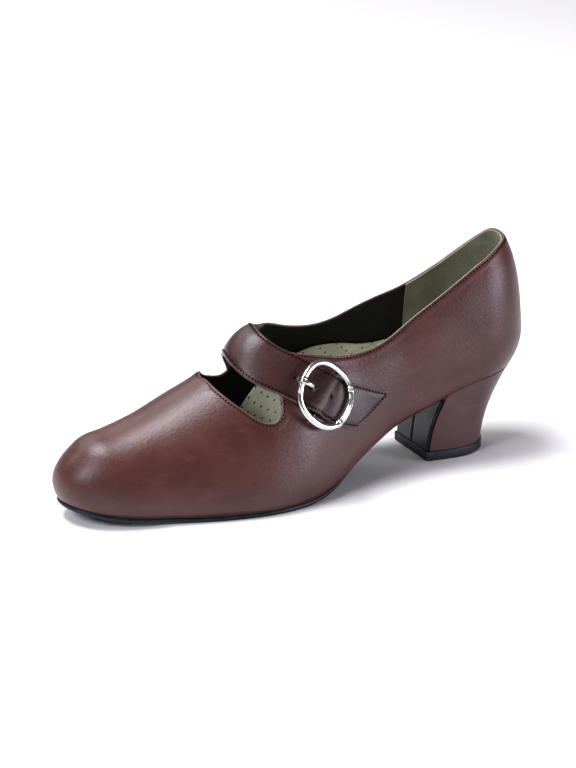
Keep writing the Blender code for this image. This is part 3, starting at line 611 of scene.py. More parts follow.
@dataclass(frozen=True)
class Leather:
    """Smooth dyed leather with pores, cloudy dye and paler raw edges.

    The pore relief is Voronoi distance over a fine noise; dye and gloss drift with slow noise.
    """

    name: str
    deep: tuple[float, float, float]
    main: tuple[float, float, float]
    worn: tuple[float, float, float]
    edge: tuple[float, float, float] = (0.17, 0.095, 0.078)
    inner: tuple[float, float, float] = (0.045, 0.038, 0.027)
    roughness: float = 0.38
    coat: float = 0.06
    specular: float = 0.30
    cloud_scale: float = 28.0
    streak_scale: float = 160.0
    pore_scale: float = 760.0
    grain_scale: float = 1100.0
    fine_scale: float = 2400.0
    relief: float = 0.20 * MM
    seam_mm: float = 1.4
    has_edge: bool = True
    has_inside: bool = False

    def make(self) -> bpy.types.Material:
        """Builds the material."""
        graph = Graph(self.name)
        clouds = graph.noise(self.cloud_scale, 4, 0.55)
        streaks = graph.noise(self.streak_scale, 3, 0.6, (0.35, 1, 1))
        fine = graph.noise(self.fine_scale, 2, 0.6)
        grain = graph.noise(self.grain_scale, 3, 0.65)
        pores = graph.cells(self.pore_scale, "SMOOTH_F1")
        colour = graph.mix(clouds.step(0.34, 0.66), self.deep, self.main)
        colour = graph.mix(streaks.step(0.52, 0.80) * 0.35, colour, self.worn)
        colour = graph.mix((1 - pores.step(0.05, 0.42)) * 0.30, colour, self.deep)
        if self.has_edge:
            distance = graph.mask("edge_mm")
            colour = graph.mix((1 - distance.step(0.10, 0.50)) * 0.80, colour, self.edge)
            seam = (distance - self.seam_mm) * (distance - self.seam_mm)
            colour = graph.mix((1 - seam.step(0.01, 0.35)) * 0.60, colour, self.deep)
        if self.has_inside:
            colour = graph.mix(graph.mask("inside"), colour, self.inner)
            # Painted shade: inside the strap's holes the colour turns near black, standing in for
            # the shade down in them.
            colour = graph.mix(graph.mask("hole"), colour, (0.010, 0.005, 0.004))
        height = pores * 0.40 + fine * 0.40 + grain * 0.30 + streaks * 0.10
        return graph.surface(
            Base_Color=colour, Roughness=grain * 0.34 + clouds * 0.08 + (self.roughness - 0.21),
            Coat_Weight=self.coat, Coat_Roughness=0.34, Coat_IOR=1.45,
            Specular_IOR_Level=self.specular, Normal=graph.bump(height, self.relief, 0.9))


@dataclass(frozen=True)
class Suede:
    """Matt napped leather with scattered darker flecks."""

    name: str
    dark: tuple[float, float, float]
    pale: tuple[float, float, float]
    roughness: float = 0.92
    nap: float = 0.14 * MM

    def make(self) -> bpy.types.Material:
        """Builds the material."""
        graph = Graph(self.name)
        nap = graph.noise(1500, 4, 0.7)
        clouds = graph.noise(45, 4, 0.6)
        flecks = graph.cells(620, "F1")
        colour = graph.mix((nap * 0.45 + clouds * 0.55).step(0.34, 0.66), self.dark, self.pale)
        colour = graph.mix((1 - flecks.step(0.06, 0.22)) * 0.35, colour, self.dark)
        return graph.surface(Base_Color=colour, Roughness=nap * 0.06 + (self.roughness - 0.04),
                             Specular_IOR_Level=0.25, Sheen_Weight=0.25, Sheen_Roughness=0.5,
                             Normal=graph.bump(nap * 0.7 + flecks * 0.3, self.nap, 0.8))


@dataclass(frozen=True)
class Metal:
    """Polished plated metal with faint wiping marks."""

    name: str
    colour: tuple[float, float, float] = (0.80, 0.79, 0.77)
    roughness: float = 0.10

    def make(self) -> bpy.types.Material:
        """Builds the material."""
        graph = Graph(self.name)
        wipes = graph.noise(700, 3, 0.6, (0.25, 1, 1))
        haze = graph.noise(120, 3, 0.5)
        tint = tuple(0.82 * c for c in self.colour)
        return graph.surface(
            Base_Color=graph.mix(haze.step(0.4, 0.75) * 0.5, self.colour, tint), Metallic=1.0,
            Roughness=wipes * 0.06 + haze * 0.05 + (self.roughness - 0.05),
            Normal=graph.bump(wipes, 0.012 * MM, 0.4))


@dataclass(frozen=True)
class Edge:
    """Dense sole leather, rubber or thread: fine lines or specks along one axis."""

    name: str
    dark: tuple[float, float, float]
    pale: tuple[float, float, float]
    roughness: float = 0.45
    specular: float = 0.3
    scale: float = 900.0
    stretch: tuple[float, float, float] = (0.25, 0.25, 2.0)
    relief: float = 0.05 * MM

    def make(self) -> bpy.types.Material:
        """Builds the material."""
        graph = Graph(self.name)
        layers = graph.noise(self.scale, 3, 0.6, self.stretch)
        scuffs = graph.noise(90, 5, 0.65)
        colour = graph.mix(layers.step(0.35, 0.70), self.dark, self.pale)
        colour = graph.mix(scuffs.step(0.60, 0.82) * 0.4, colour, self.pale)
        return graph.surface(Base_Color=colour, Specular_IOR_Level=self.specular,
                             Roughness=scuffs * 0.16 + layers * 0.08 + (self.roughness - 0.10),
                             Normal=graph.bump(layers, self.relief, 0.7))


@dataclass(frozen=True)
class PrickedLining:
    """Pale sock-lining leather, pricked with rows of small holes in a staggered lattice.

    The distance to the nearest of two shifted rectangular lattices makes the holes.
    """

    name: str
    dark: tuple[float, float, float]
    pale: tuple[float, float, float]
    pitch: tuple[float, float] = (6.3 * MM, 7.6 * MM)
    hole: float = 0.55 * MM

    def lattice(self, graph: Graph, shift: float) -> Signal:
        """Distance to the nearest point of a lattice shifted by a share of its pitch."""
        split = graph.add("ShaderNodeSeparateXYZ", {}, {0: graph.uv})
        parts = []
        for output, pitch in zip(split.outputs[:2], self.pitch):
            cell = (Signal(graph, output) / pitch + (50 + shift)).math("FRACT") - 0.5
            parts.append(cell * pitch)
        return (parts[0] * parts[0] + parts[1] * parts[1]).math("SQRT")

    def make(self) -> bpy.types.Material:
        """Builds the material."""
        graph = Graph(self.name)
        away = self.lattice(graph, 0.0).math("MINIMUM", self.lattice(graph, 0.5))
        hole = 1 - away.step(self.hole * 0.6, self.hole * 1.35)
        clouds = graph.noise(40, 4, 0.6)
        fine = graph.noise(1900, 3, 0.65)
        colour = graph.mix(clouds.step(0.35, 0.68), self.dark, self.pale)
        colour = graph.mix(hole, colour, (0.030, 0.034, 0.026))
        return graph.surface(Base_Color=colour, Roughness=fine * 0.12 + 0.50,
                             Coat_Weight=0.08, Coat_Roughness=0.4,
                             Normal=graph.bump(fine * 0.25 - hole * 0.9 + 0.9, 0.25 * MM, 0.7))


class Finishes:
    """Every material of the shoe, made once."""

    def __init__(self) -> None:
        """Makes the materials."""
        self.upper = Leather("upper_leather", (0.038, 0.0105, 0.0080), (0.058, 0.0180, 0.0140),
                             (0.092, 0.037, 0.031)).make()
        self.strap = Leather("strap_leather", (0.016, 0.0044, 0.0036), (0.028, 0.0082, 0.0064),
                             (0.054, 0.020, 0.017), edge=(0.12, 0.062, 0.050),
                             has_inside=True).make()
        self.heel = Leather("heel_leather", (0.040, 0.018, 0.016), (0.066, 0.032, 0.029),
                            (0.096, 0.051, 0.047), has_edge=False).make()
        # The vamp lining's near-black colour is partly the lining's own dark brown and partly
        # painted shade for the dark inside of the toe.
        self.lining_front = Leather("vamp_lining_painted_shade", (0.002, 0.002, 0.0015), (0.006, 0.005, 0.004),
                                    (0.012, 0.010, 0.008), roughness=0.62, coat=0.0,
                                    specular=0.08, has_edge=False).make()
        self.lining_rear = Suede("quarter_lining", (0.075, 0.075, 0.050),
                                 (0.175, 0.175, 0.120)).make()
        self.sock = PrickedLining("sock_lining", (0.46, 0.48, 0.35), (0.64, 0.66, 0.49)).make()
        self.board = Suede("insole_board", (0.020, 0.016, 0.012), (0.045, 0.036, 0.027)).make()
        self.sole = Edge("sole_edge", (0.002, 0.004, 0.005), (0.008, 0.014, 0.017),
                         roughness=0.40, specular=0.20).make()
        self.lift = Edge("top_lift_rubber", (0.002, 0.004, 0.005), (0.009, 0.016, 0.019),
                         roughness=0.48, specular=0.25, scale=500, stretch=(1, 1, 1)).make()
        self.breast = Edge("breast_leather", (0.003, 0.0045, 0.005), (0.012, 0.016, 0.018),
                           roughness=0.42, specular=0.28, scale=600, stretch=(1, 1, 0.3)).make()
        self.metal = Metal("buckle_metal", (0.54, 0.53, 0.51), 0.20).make()
        # The centre bar's near-black colour is painted shade: the bar is kept as dark as the shade
        # between the strap and the rim.
        self.bar = Metal("bar_metal_painted_shade", (0.07, 0.06, 0.055), 0.35).make()
        self.thread = Edge("thread", (0.002, 0.001, 0.001), (0.007, 0.003, 0.003),
                           roughness=0.8, specular=0.08, scale=3000, stretch=(1, 1, 1)).make()


def thicken(piece: bpy.types.Object, thickness: float) -> bpy.types.Object:
    """Gives an open sheet its thickness, inward."""
    wall = piece.modifiers.new("Thickness", "SOLIDIFY")
    wall.thickness = thickness
    wall.offset = -1
    return piece


def dress(node: str, *pieces: bpy.types.Object) -> None:
    """Hides a node's plain solid, for which the pieces stand in."""
    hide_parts(node)


def path_run(path: Array) -> Array:
    """Length along a path up to each of its points."""
    return np.concatenate([[0], np.cumsum(np.linalg.norm(np.diff(path, axis=0), axis=1))])


def read_path(where: Array, run: Array, path: Array) -> Array:
    """Points of a path where its run, or a rising coordinate, has the given values."""
    return np.stack([np.interp(where, run, path[:, k]) for k in range(3)], -1)


def stitch_row(sheet: Sheet, path: Array, normals: Array, radius: float,
               pitch: float = STITCH_PITCH, length: float = STITCH_LENGTH) -> None:
    """Adds a row of thread stitches: long beads laid along a path, half sunk.

    A bead is an ellipsoid: radius * sqrt(1 - s^2) around a line of half the stitch's length.

    Args:
        sheet: Sheet that takes the beads.
        path: Points of the seam line.
        normals: Outward directions at those points.
        radius: Half the thread's thickness.
        pitch: Distance from stitch to stitch.
        length: A stitch's length.
    """
    run = path_run(path)
    count = max(1, int(run[-1] / pitch))
    at = (np.arange(count) + 0.5) * run[-1] / count
    centre = read_path(at, run, path)
    normal = unit(read_path(at, run, normals))
    small = 0.3 * MM
    along = unit(read_path(at + small, run, path) - read_path(at - small, run, path))
    side = unit(np.cross(normal, along))
    s = np.cos(np.linspace(0, math.pi, BEAD_STEPS))[:, None, None]
    angle = np.linspace(0, 2 * math.pi, BEAD_STEPS, endpoint=False)[None, :, None]
    bulge = np.sqrt(np.clip(1 - s ** 2, 0, 1)) * radius
    for c, n, a, b in zip(centre, normal, along, side):
        grid = c + a * s * length / 2 + (b * np.cos(angle) + n * np.sin(angle)) * bulge
        sheet.add(grid, ring=True)


@dataclass
class UpperShell:
    """Vamp and quarters, with their linings and the stitching along the top edge."""

    last: Last
    finishes: Finishes
    leather: float = 1.2 * MM
    lining: float = 0.5 * MM
    rear_lining: float = 0.8 * MM
    lining_gap: float = 0.08 * MM
    lining_drop: float = 0.7 * MM
    seam_from_edge: float = 1.4 * MM
    seam_depth: float = 0.22 * MM
    seam_width: float = 0.42 * MM
    thread_radius: float = 0.45 * MM
    thread_sink: float = 0.05 * MM
    edge_roll: float = 0.6 * MM
    roll_height: float = 0.40 * MM
    puff_from_edge: float = 2.9 * MM
    puff_width: float = 1.2 * MM
    puff_height: float = 0.16 * MM
    wave_height: float = 0.05 * MM
    lining_seam_way: float = 0.765
    seam_stop: float = 0.3
    toe_rows: int = 60
    side_rows: int = 230
    rise_steps: int = 56
    crowding: float = 1.6
    edge_samples: int = 700
    edge_part: int = 50
    lining_rows: tuple[int, int] = (150, 80)
    lining_steps: int = 30

    def wall(self, side: Side, drop: float = 0.0, rows: int | None = None,
             steps: int | None = None, first: float = 0.0,
             final: float = 1.0) -> tuple[Array, Array]:
        """Ways and turns of one side's grid, from the feather line to the top edge.

        The toe's rows run from the feather line to the crest. Behind them each row climbs from
        its foot to the top edge, with rows close together near that edge.

        Args:
            side: Outer or inner side.
            drop: Distance that the grid stops short of the top edge.
            rows: Rows behind the toe.
            steps: Steps up the side.
            first: Share of the top edge's chart at which the grid starts; above 0 has no toe.
            final: Share at which it ends.

        Returns:
            Way and turn, rows by columns; turn is up from this side's feather line.
        """
        chart = TOPLINES[side]
        rows = rows or self.side_rows
        steps = steps or self.rise_steps
        climb = np.linspace(0, 1, steps + 1)
        share = (1 - (1 - climb) ** self.crowding)[None, :]
        position = np.linspace(first, final, rows + 1) * (len(chart.rows) - 1)
        way, turn, foot = (chart.read(name, position)[:, None] for name in ("way", "turn", "foot"))
        short = drop / (self.last.instep_height * 1.1)
        share_side = share * (1 - short)
        ways, turns = foot + (way - foot) * share_side, share_side * turn
        if first > 0:
            return ways, turns
        toe = np.linspace(0, 1, self.toe_rows + 1)[:-1, None] ** self.crowding * chart.rows[0][0]
        return (np.concatenate([toe + 0 * share, ways]),
                np.concatenate([share * 90 + 0 * toe, turns]))

    def whole(self, turn: Array, side: Side) -> Array:
        """Turn measured over the whole form, from a turn on one side."""
        return turn if side is Side.OUTER else 180 - turn

    def edge_line(self, side: Side, finer: int = 1) -> tuple[Array, Array]:
        """Way and whole turn along one side's top edge."""
        chart = TOPLINES[side]
        count = self.edge_samples * finer
        position = np.linspace(0, len(chart.rows) - 1, count)
        return chart.read("way", position), self.whole(chart.read("turn", position), side)

    def edge_distance(self, points: Array, reach: float = 8 * MM) -> Array:
        """Distance of points from the whole top edge, at most the reach.

        The nearest sample of the edge is found first. What is left of the way to it, off the
        edge's direction there, is the distance.

        Args:
            points: Points near the last's surface.
            reach: Largest distance that is told apart.

        Returns:
            Distance of each point.
        """
        flat = points.reshape(-1, 3)
        nearest = np.full(len(flat), reach)
        for side in Side:
            edge = self.last.point(*self.edge_line(side, 2))
            along = unit(np.gradient(edge, axis=0))
            for first in range(0, len(edge), self.edge_part):
                rows = slice(first, first + self.edge_part)
                part, heading = edge[rows], along[rows]
                near = np.flatnonzero(np.all((flat > part.min(0) - reach)
                                             & (flat < part.max(0) + reach), axis=1))
                away = flat[near][:, None, :] - part[None]
                squared = (away ** 2).sum(-1)
                best = squared.argmin(1)
                row = np.arange(len(near))
                slip = (away[row, best] * heading[best]).sum(-1)
                step = 0.5 * np.linalg.norm(part[-1] - part[0]) / len(part)
                slip = np.clip(slip, -step, step)
                gap = np.sqrt(np.maximum(squared[row, best] - slip ** 2, 0))
                nearest[near] = np.minimum(nearest[near], gap)
        return nearest.reshape(points.shape[:-1])

    def relief(self, points: Array, distance: Array) -> Array:
        """Height of the leather over the last.

        A rolled edge, a soft roll above the seam, a trough along the seam and slow waves.

        Args:
            points: Points on the last.
            distance: Their distance from the top edge.

        Returns:
            Height at each point.
        """
        inside = np.clip(1 - distance / self.edge_roll, 0, 1)
        roll = self.roll_height * inside ** 2
        puff = self.puff_height * bell(distance - self.puff_from_edge, self.puff_width)
        trough = self.seam_depth * bell(distance - self.seam_from_edge, self.seam_width)
        x, y, z = np.moveaxis(points, -1, 0)
        waves = np.sin(x / (9 * MM) + 1.3) * np.sin(z / (7 * MM) + y / (15 * MM))
        waves += 0.7 * np.sin(x / (5.2 * MM) + z / (6 * MM)) * np.sin(y / (8 * MM) + 0.7)
        return puff - trough - roll + self.wave_height * waves

    def build_leather(self) -> bpy.types.Object:
        """The leather shell, thickened inward."""
        sheet = Sheet()
        for side in Side:
            way, turn = self.wall(side)
            turn = self.whole(turn, side)
            points = self.last.point(way, turn)
            distance = self.edge_distance(points)
            height = self.relief(points, distance)[..., None]
            points = points + height * self.last.normal(way, turn)
            sheet.add(points, self.last.surface_uv(way, turn), flip=side is Side.OUTER,
                      edge_mm=distance / MM)
        return thicken(sheet.build("upper_leather", self.finishes.upper, solid=False), self.leather)

    def build_lining(self, name: str, material: bpy.types.Material, rear: bool) -> bpy.types.Object:
        """One lining, front or rear of the side seam, inside the leather.

        Args:
            name: The piece's name.
            material: Its material.
            rear: Whether it is the one behind the seam.

        Returns:
            The lining, thickened inward.
        """
        sheet = Sheet()
        for side in Side:
            chart = TOPLINES[side]
            ways = np.array(chart.rows)[:, 0]
            seam = np.interp(self.lining_seam_way, ways, np.arange(len(ways))) / (len(ways) - 1)
            first, final = (seam, 1.0) if rear else (0.0, seam)
            way, turn = self.wall(side, self.lining_drop, self.lining_rows[int(rear)],
                                  self.lining_steps, first, final)
            turn = self.whole(turn, side)
            depth = self.leather + self.lining_gap
            points = self.last.point(way, turn) - depth * self.last.normal(way, turn)
            sheet.add(points, self.last.surface_uv(way, turn), flip=side is Side.OUTER)
        thickness = self.rear_lining if rear else self.lining
        return thicken(sheet.build(name, material, solid=False), thickness)

    def build_stitches(self) -> bpy.types.Object:
        """Stitches along the top edge, left out where the strap carries on from it."""
        sheet = Sheet()
        for side in Side:
            way, turn = self.edge_line(side)
            place = self.last.point(way, turn)
            tangent = np.gradient(place, axis=0) * (1 if side is Side.OUTER else -1)
            at = self.last.walk(way, turn, lambda normal: np.cross(tangent, normal),
                                np.full(way.shape, self.seam_from_edge))
            line = self.last.point(*at)
            normal = self.last.slopes(*at)[2]
            line = line - normal * (self.seam_depth - self.thread_sink)
            last_row = len(TOPLINES[side].rows) - 1
            front, rear = STRAP_SEAM_ROWS
            spans = [(0, last_row)] if side is Side.OUTER else [(0, front - self.seam_stop),
                                                                (rear, last_row)]
            for low, high in spans:
                first, final = (int(row / last_row * (len(line) - 1)) for row in (low, high))
                part = slice(first + 2, final - 1)
                stitch_row(sheet, line[part], normal[part], self.thread_radius)
        return sheet.build("upper_stitches", self.finishes.thread)

    def build(self) -> None:
        """Builds every piece of the upper and hides its plain solid."""
        leather = self.build_leather()
        front = self.build_lining("lining_front", self.finishes.lining_front, rear=False)
        rear = self.build_lining("lining_rear", self.finishes.lining_rear, rear=True)
        dress("upper", leather, front, rear, self.build_stitches())


@dataclass
class StrapBand:
    """Instep strap with its rolled edges, hump over the bar, wrinkles, holes and stitching."""

    last: Last
    finishes: Finishes
    width: float = 22 * MM
    thickness: float = 2.0 * MM
    rear_raise: float = 3.5 * MM
    crown: float = 2.2 * MM
    gap: float = 0.3 * MM
    seam_gap: float = 0.5 * MM
    tip_slant: float = 7.6 * MM
    buckle_from_tip: float = 41.0 * MM
    buckle_turn: float = 11.0
    bar_offset: float = 1.2 * MM
    bar_wire: float = 2.0 * MM
    hump_lengths: tuple[float, float] = (8.5 * MM, 4.2 * MM)
    climb: tuple[float, float] = (0.14, 0.36)
    seam_spread: float = 0.25
    corner: float = 0.75 * MM
    hole_spacing: float = 9.7 * MM
    hole_from_bar: float = 7.4 * MM
    hole_radius: float = 1.0 * MM
    hole_depth: float = 1.5 * MM
    dimple: float = 0.18 * MM
    seam_inset: float = 1.4 * MM
    seam_start: float = 5 * MM
    seam_depth: float = 0.20 * MM
    thread_radius: float = 0.43 * MM
    thread_rise: float = 0.10 * MM
    dome: float = 0.30 * MM
    wrinkle_height: float = 0.05 * MM
    tip_corners: tuple[float, float] = (1.4 * MM, 5.0 * MM)
    rows: int = 300
    middle_samples: int = 500
    seam_samples: tuple[int, int] = (320, 60)
    end_crowding: float = 0.12

    def __post_init__(self) -> None:
        """Measures the middle line."""
        position = np.linspace(0, len(STRAP_PATH.rows) - 1, self.middle_samples)
        self.ways, self.turns, self.widths, self.raises = (
            STRAP_PATH.read(name, position) for name in STRAP_PATH.columns)
        self.run = path_run(self.last.point(self.ways, self.turns))
        self.length = self.run[-1]
        self.buckle_at = self.length - self.buckle_from_tip

    def middle(self, length: Array) -> tuple[Array, Array]:
        """Way and turn of the middle line at a length along it."""
        return np.interp(length, self.run, self.ways), np.interp(length, self.run, self.turns)

    def half_width(self, length: Array) -> Array:
        """Half the strap's width at a length along it."""
        return self.width / 2 * np.interp(length, self.run, self.widths)

    def beside(self, length: Array, aside: Array) -> tuple[Array, Array]:
        """Way and turn at a length along the strap and a distance towards its rear edge."""
        length, aside = np.broadcast_arrays(np.asarray(length, float), np.asarray(aside, float))
        small = 1.5 * MM
        ahead = self.last.point(*self.middle(length + small))
        ahead = ahead - self.last.point(*self.middle(length - small))
        return self.last.walk(*self.middle(length), lambda normal: np.cross(normal, ahead), aside)

    def lift(self, length: Array, aside: Array) -> Array:
        """Height of the outer face over the last.

        It is flush at the seam, then climbs over the outer quarter, and swells over the centre
        bar, more gently on the side where the prong lies under it.

        Args:
            length: Length along the strap.
            aside: Distance towards the rear edge.

        Returns:
            Height at each point.
        """
        start, end = (share * self.length for share in self.climb)
        lean = math.tan(math.radians(self.buckle_turn))
        away = length - self.buckle_at - self.bar_offset - lean * aside
        reach = np.where(away < 0, *self.hump_lengths)
        hump = (self.bar_wire + 2 * self.gap) * bell(away, reach)
        return ease((length - start) / (end - start)) * (self.thickness + self.gap) + hump

    def over(self, length: Array, aside: Array, height: Array) -> Array:
        """Points at a height over the last, in the strap's own directions."""
        return self.last.above(*self.beside(length, aside), height)

    def stand_off(self, length: Array, share: Array) -> Array:
        """Height over the crest of the foot: the rear edge stands off, the middle is domed."""
        raised = np.interp(length, self.run, self.raises)
        return raised * (self.rear_raise * (share + 1) / 2 + self.crown * (1 - share ** 2))

    def tip_length(self, aside: Array) -> Array:
        """Length of the strap at a share of its half width: slanted, with rounded corners."""
        half = self.width * self.widths[-1] / 2
        end = self.length + self.tip_slant * (aside - 1)
        for corner, room in zip(self.tip_corners, (half * (1 - aside), half * (1 + aside))):
            cut = np.clip(corner - room, 0, corner)
            end = end - (corner - np.sqrt(corner ** 2 - cut ** 2))
        return end

    def section(self, columns: int = 46) -> tuple[Array, Array, Array]:
        """Rounded outline of the band across its width.

        Returns:
            Share of the half width, depth below the outer face, and 1 on the outer face.
        """
        half = self.width / 2
        flat = half - self.corner
        top = np.linspace(-flat, flat, columns)
        arc = np.linspace(0, math.pi / 2, 5)[1:-1]
        right = flat + self.corner * np.sin(arc)
        depth = self.corner * (1 - np.cos(arc))
        low = self.thickness
        bottom = np.linspace(flat, -flat, columns // 3)
        aside = np.concatenate([top, right, [half, half], right[::-1],
                                bottom, -right, [-half, -half], -right[::-1]])
        deep = np.concatenate([0 * top, depth, [self.corner, low - self.corner], low - depth[::-1],
                               0 * bottom + low, low - depth, [low - self.corner, self.corner],
                               depth[::-1]])
        return aside / half, deep, (deep < 0.3 * self.thickness).astype(float)

    def relief(self, length: Array, aside: Array, from_edge: Array) -> Array:
        """Small height of the outer face.

        A domed middle, the stitch trough, fine cross wrinkles ahead of the buckle, and dimples
        round the holes.

        Args:
            length: Length along the strap.
            aside: Distance towards the rear edge.
            from_edge: Distance from the nearest cut edge.

        Returns:
            Height at each point.
        """
        dome = self.dome * ease(from_edge / (4 * MM))
        trough = self.seam_depth * bell(from_edge - self.seam_inset, 0.45 * MM)
        bend = length - self.buckle_at
        wrinkle = np.sin(bend / (0.36 * MM) + 1.4 * np.sin(aside / (2.6 * MM)))
        wrinkle += 0.6 * np.sin(bend / (0.61 * MM) + 1.1 * np.sin(aside / (1.7 * MM) + 2))
        wrinkle *= bell(bend + 19 * MM, 3.6 * MM) * bell(aside - 3 * MM, 7 * MM)
        away = self.from_hole(length, aside)
        dip = self.hole_depth * (1 - ease((away - 0.75) / 0.5)) + self.dimple * bell(away, 2.2)
        return dome - trough + self.wrinkle_height * wrinkle - dip

    def hole_at(self, number: int) -> float:
        """Length along the strap of one of its three holes; 0 holds the prong."""
        return self.buckle_at + self.bar_offset - self.hole_from_bar + number * self.hole_spacing

    def from_hole(self, length: Array, aside: Array) -> Array:
        """Distance from the nearest hole's middle, in hole radii."""
        gaps = [np.hypot(length - self.hole_at(number), aside) for number in (-1, 0, 1)]
        return np.minimum.reduce(gaps) / self.hole_radius

    def build_band(self) -> bpy.types.Object:
        """The band: its rounded section carried along the middle line to the slanted tip."""
        aside, depth, face = self.section()
        even = np.linspace(0, 1, self.rows + 1)
        share = (1 - np.cos(math.pi * even)) / 2
        share = (self.end_crowding * share + (1 - self.end_crowding) * even)[:, None]
        aside = np.broadcast_to(aside, (self.rows + 1, aside.size))
        length = share * self.tip_length(aside)
        half = self.half_width(length)
        way, turn = self.beside(length, aside * half)
        seam_way, seam_turn = self.seam_line(aside[0])
        fade = np.clip(1 - share / self.seam_spread, 0, 1) ** 2
        way = way + (seam_way - way[:1]) * fade
        turn = turn + (seam_turn - turn[:1]) * fade
        to_end = np.minimum(self.tip_length(aside) - length, length + 0.15 * MM)
        from_edge = np.minimum(half * (1 - abs(aside)), self.tip_length(aside) - length)
        height = self.lift(length, aside * half)
        height = height + self.stand_off(length, aside)
        round_end = np.clip(1 - to_end / self.corner, 0, 1)
        thin = np.sqrt(1 - round_end ** 2)
        middle = self.thickness / 2
        height = height - middle + (middle - depth) * thin
        height = height + face * self.relief(length, aside * half, from_edge) * thin
        points = self.last.above(way, turn, height)
        edge = np.where(face > 0, from_edge, 0.0)
        # The hole mask marks where the strap's colour paints near-black shade into its holes.
        sheet = Sheet().add(points, np.stack([length, aside * half], -1), ring=True,
                            edge_mm=edge / MM, inside=1 - face,
                            hole=1 - ease((self.from_hole(length, aside * half) - 0.85) / 0.5))
        return sheet.build("strap_band", self.finishes.strap)

    def seam_line(self, aside: Array) -> tuple[Array, Array]:
        """Way and turn of the strap's start, a seam gap above the inner quarter's edge."""
        chart = TOPLINES[Side.INNER]
        front, rear = STRAP_SEAM_ROWS
        position = front + (rear - front) * (aside + 1) / 2

        def edge(further: float) -> tuple[Array, Array]:
            """Way and whole turn of the inner top edge, some rows further on."""
            row = position + further
            return chart.read("way", row), 180 - chart.read("turn", row)

        small = 0.02
        line = self.last.point(*edge(small)) - self.last.point(*edge(-small))
        return self.last.walk(*edge(0.0), lambda normal: np.cross(normal, -line),
                              np.full(position.shape, self.seam_gap))

    def build_stitches(self) -> bpy.types.Object:
        """One row of stitches round both edges and the tip."""
        sheet = Sheet()
        inset = self.seam_inset
        half = self.width * self.widths[-1] / 2
        tip = 1 - inset / half
        routes = []
        for sign in (-1, 1):
            end = self.tip_length(np.array([sign * tip]))[0] - inset * 0.8
            length = np.linspace(self.seam_start, end, self.seam_samples[0])
            routes.append((length, sign * (self.half_width(length) - inset)))
        across = np.linspace(-tip, tip, self.seam_samples[1])
        routes.append((self.tip_length(across) - inset, across * half))
        for length, aside in routes:
            height = self.lift(length, aside) + self.thread_rise
            height = height + self.stand_off(length, aside / self.half_width(length))
            way, turn = self.beside(length, aside)
            normal = self.last.slopes(way, turn)[2]
            line = self.last.point(way, turn) + height[:, None] * normal
            stitch_row(sheet, line, normal, self.thread_radius)
        return sheet.build("strap_stitches", self.finishes.thread)

    def build(self) -> None:
        """Builds the strap and hides its plain solid."""
        dress("strap", self.build_band(), self.build_stitches())


def loop_of(outer: Array, inner: Array) -> Array:
    """One closed loop: along the outer side's points and back along the inner side's."""
    return np.concatenate([outer, inner[::-1]])


def span(loop: Array, across: int) -> Array:
    """Grid inside a loop, with straight rows from its first half to its second half."""
    outer, inner = np.split(loop, 2)
    share = np.linspace(0, 1, across + 1)[None, :, None]
    return outer[:, None] * (1 - share) + inner[::-1][:, None] * share


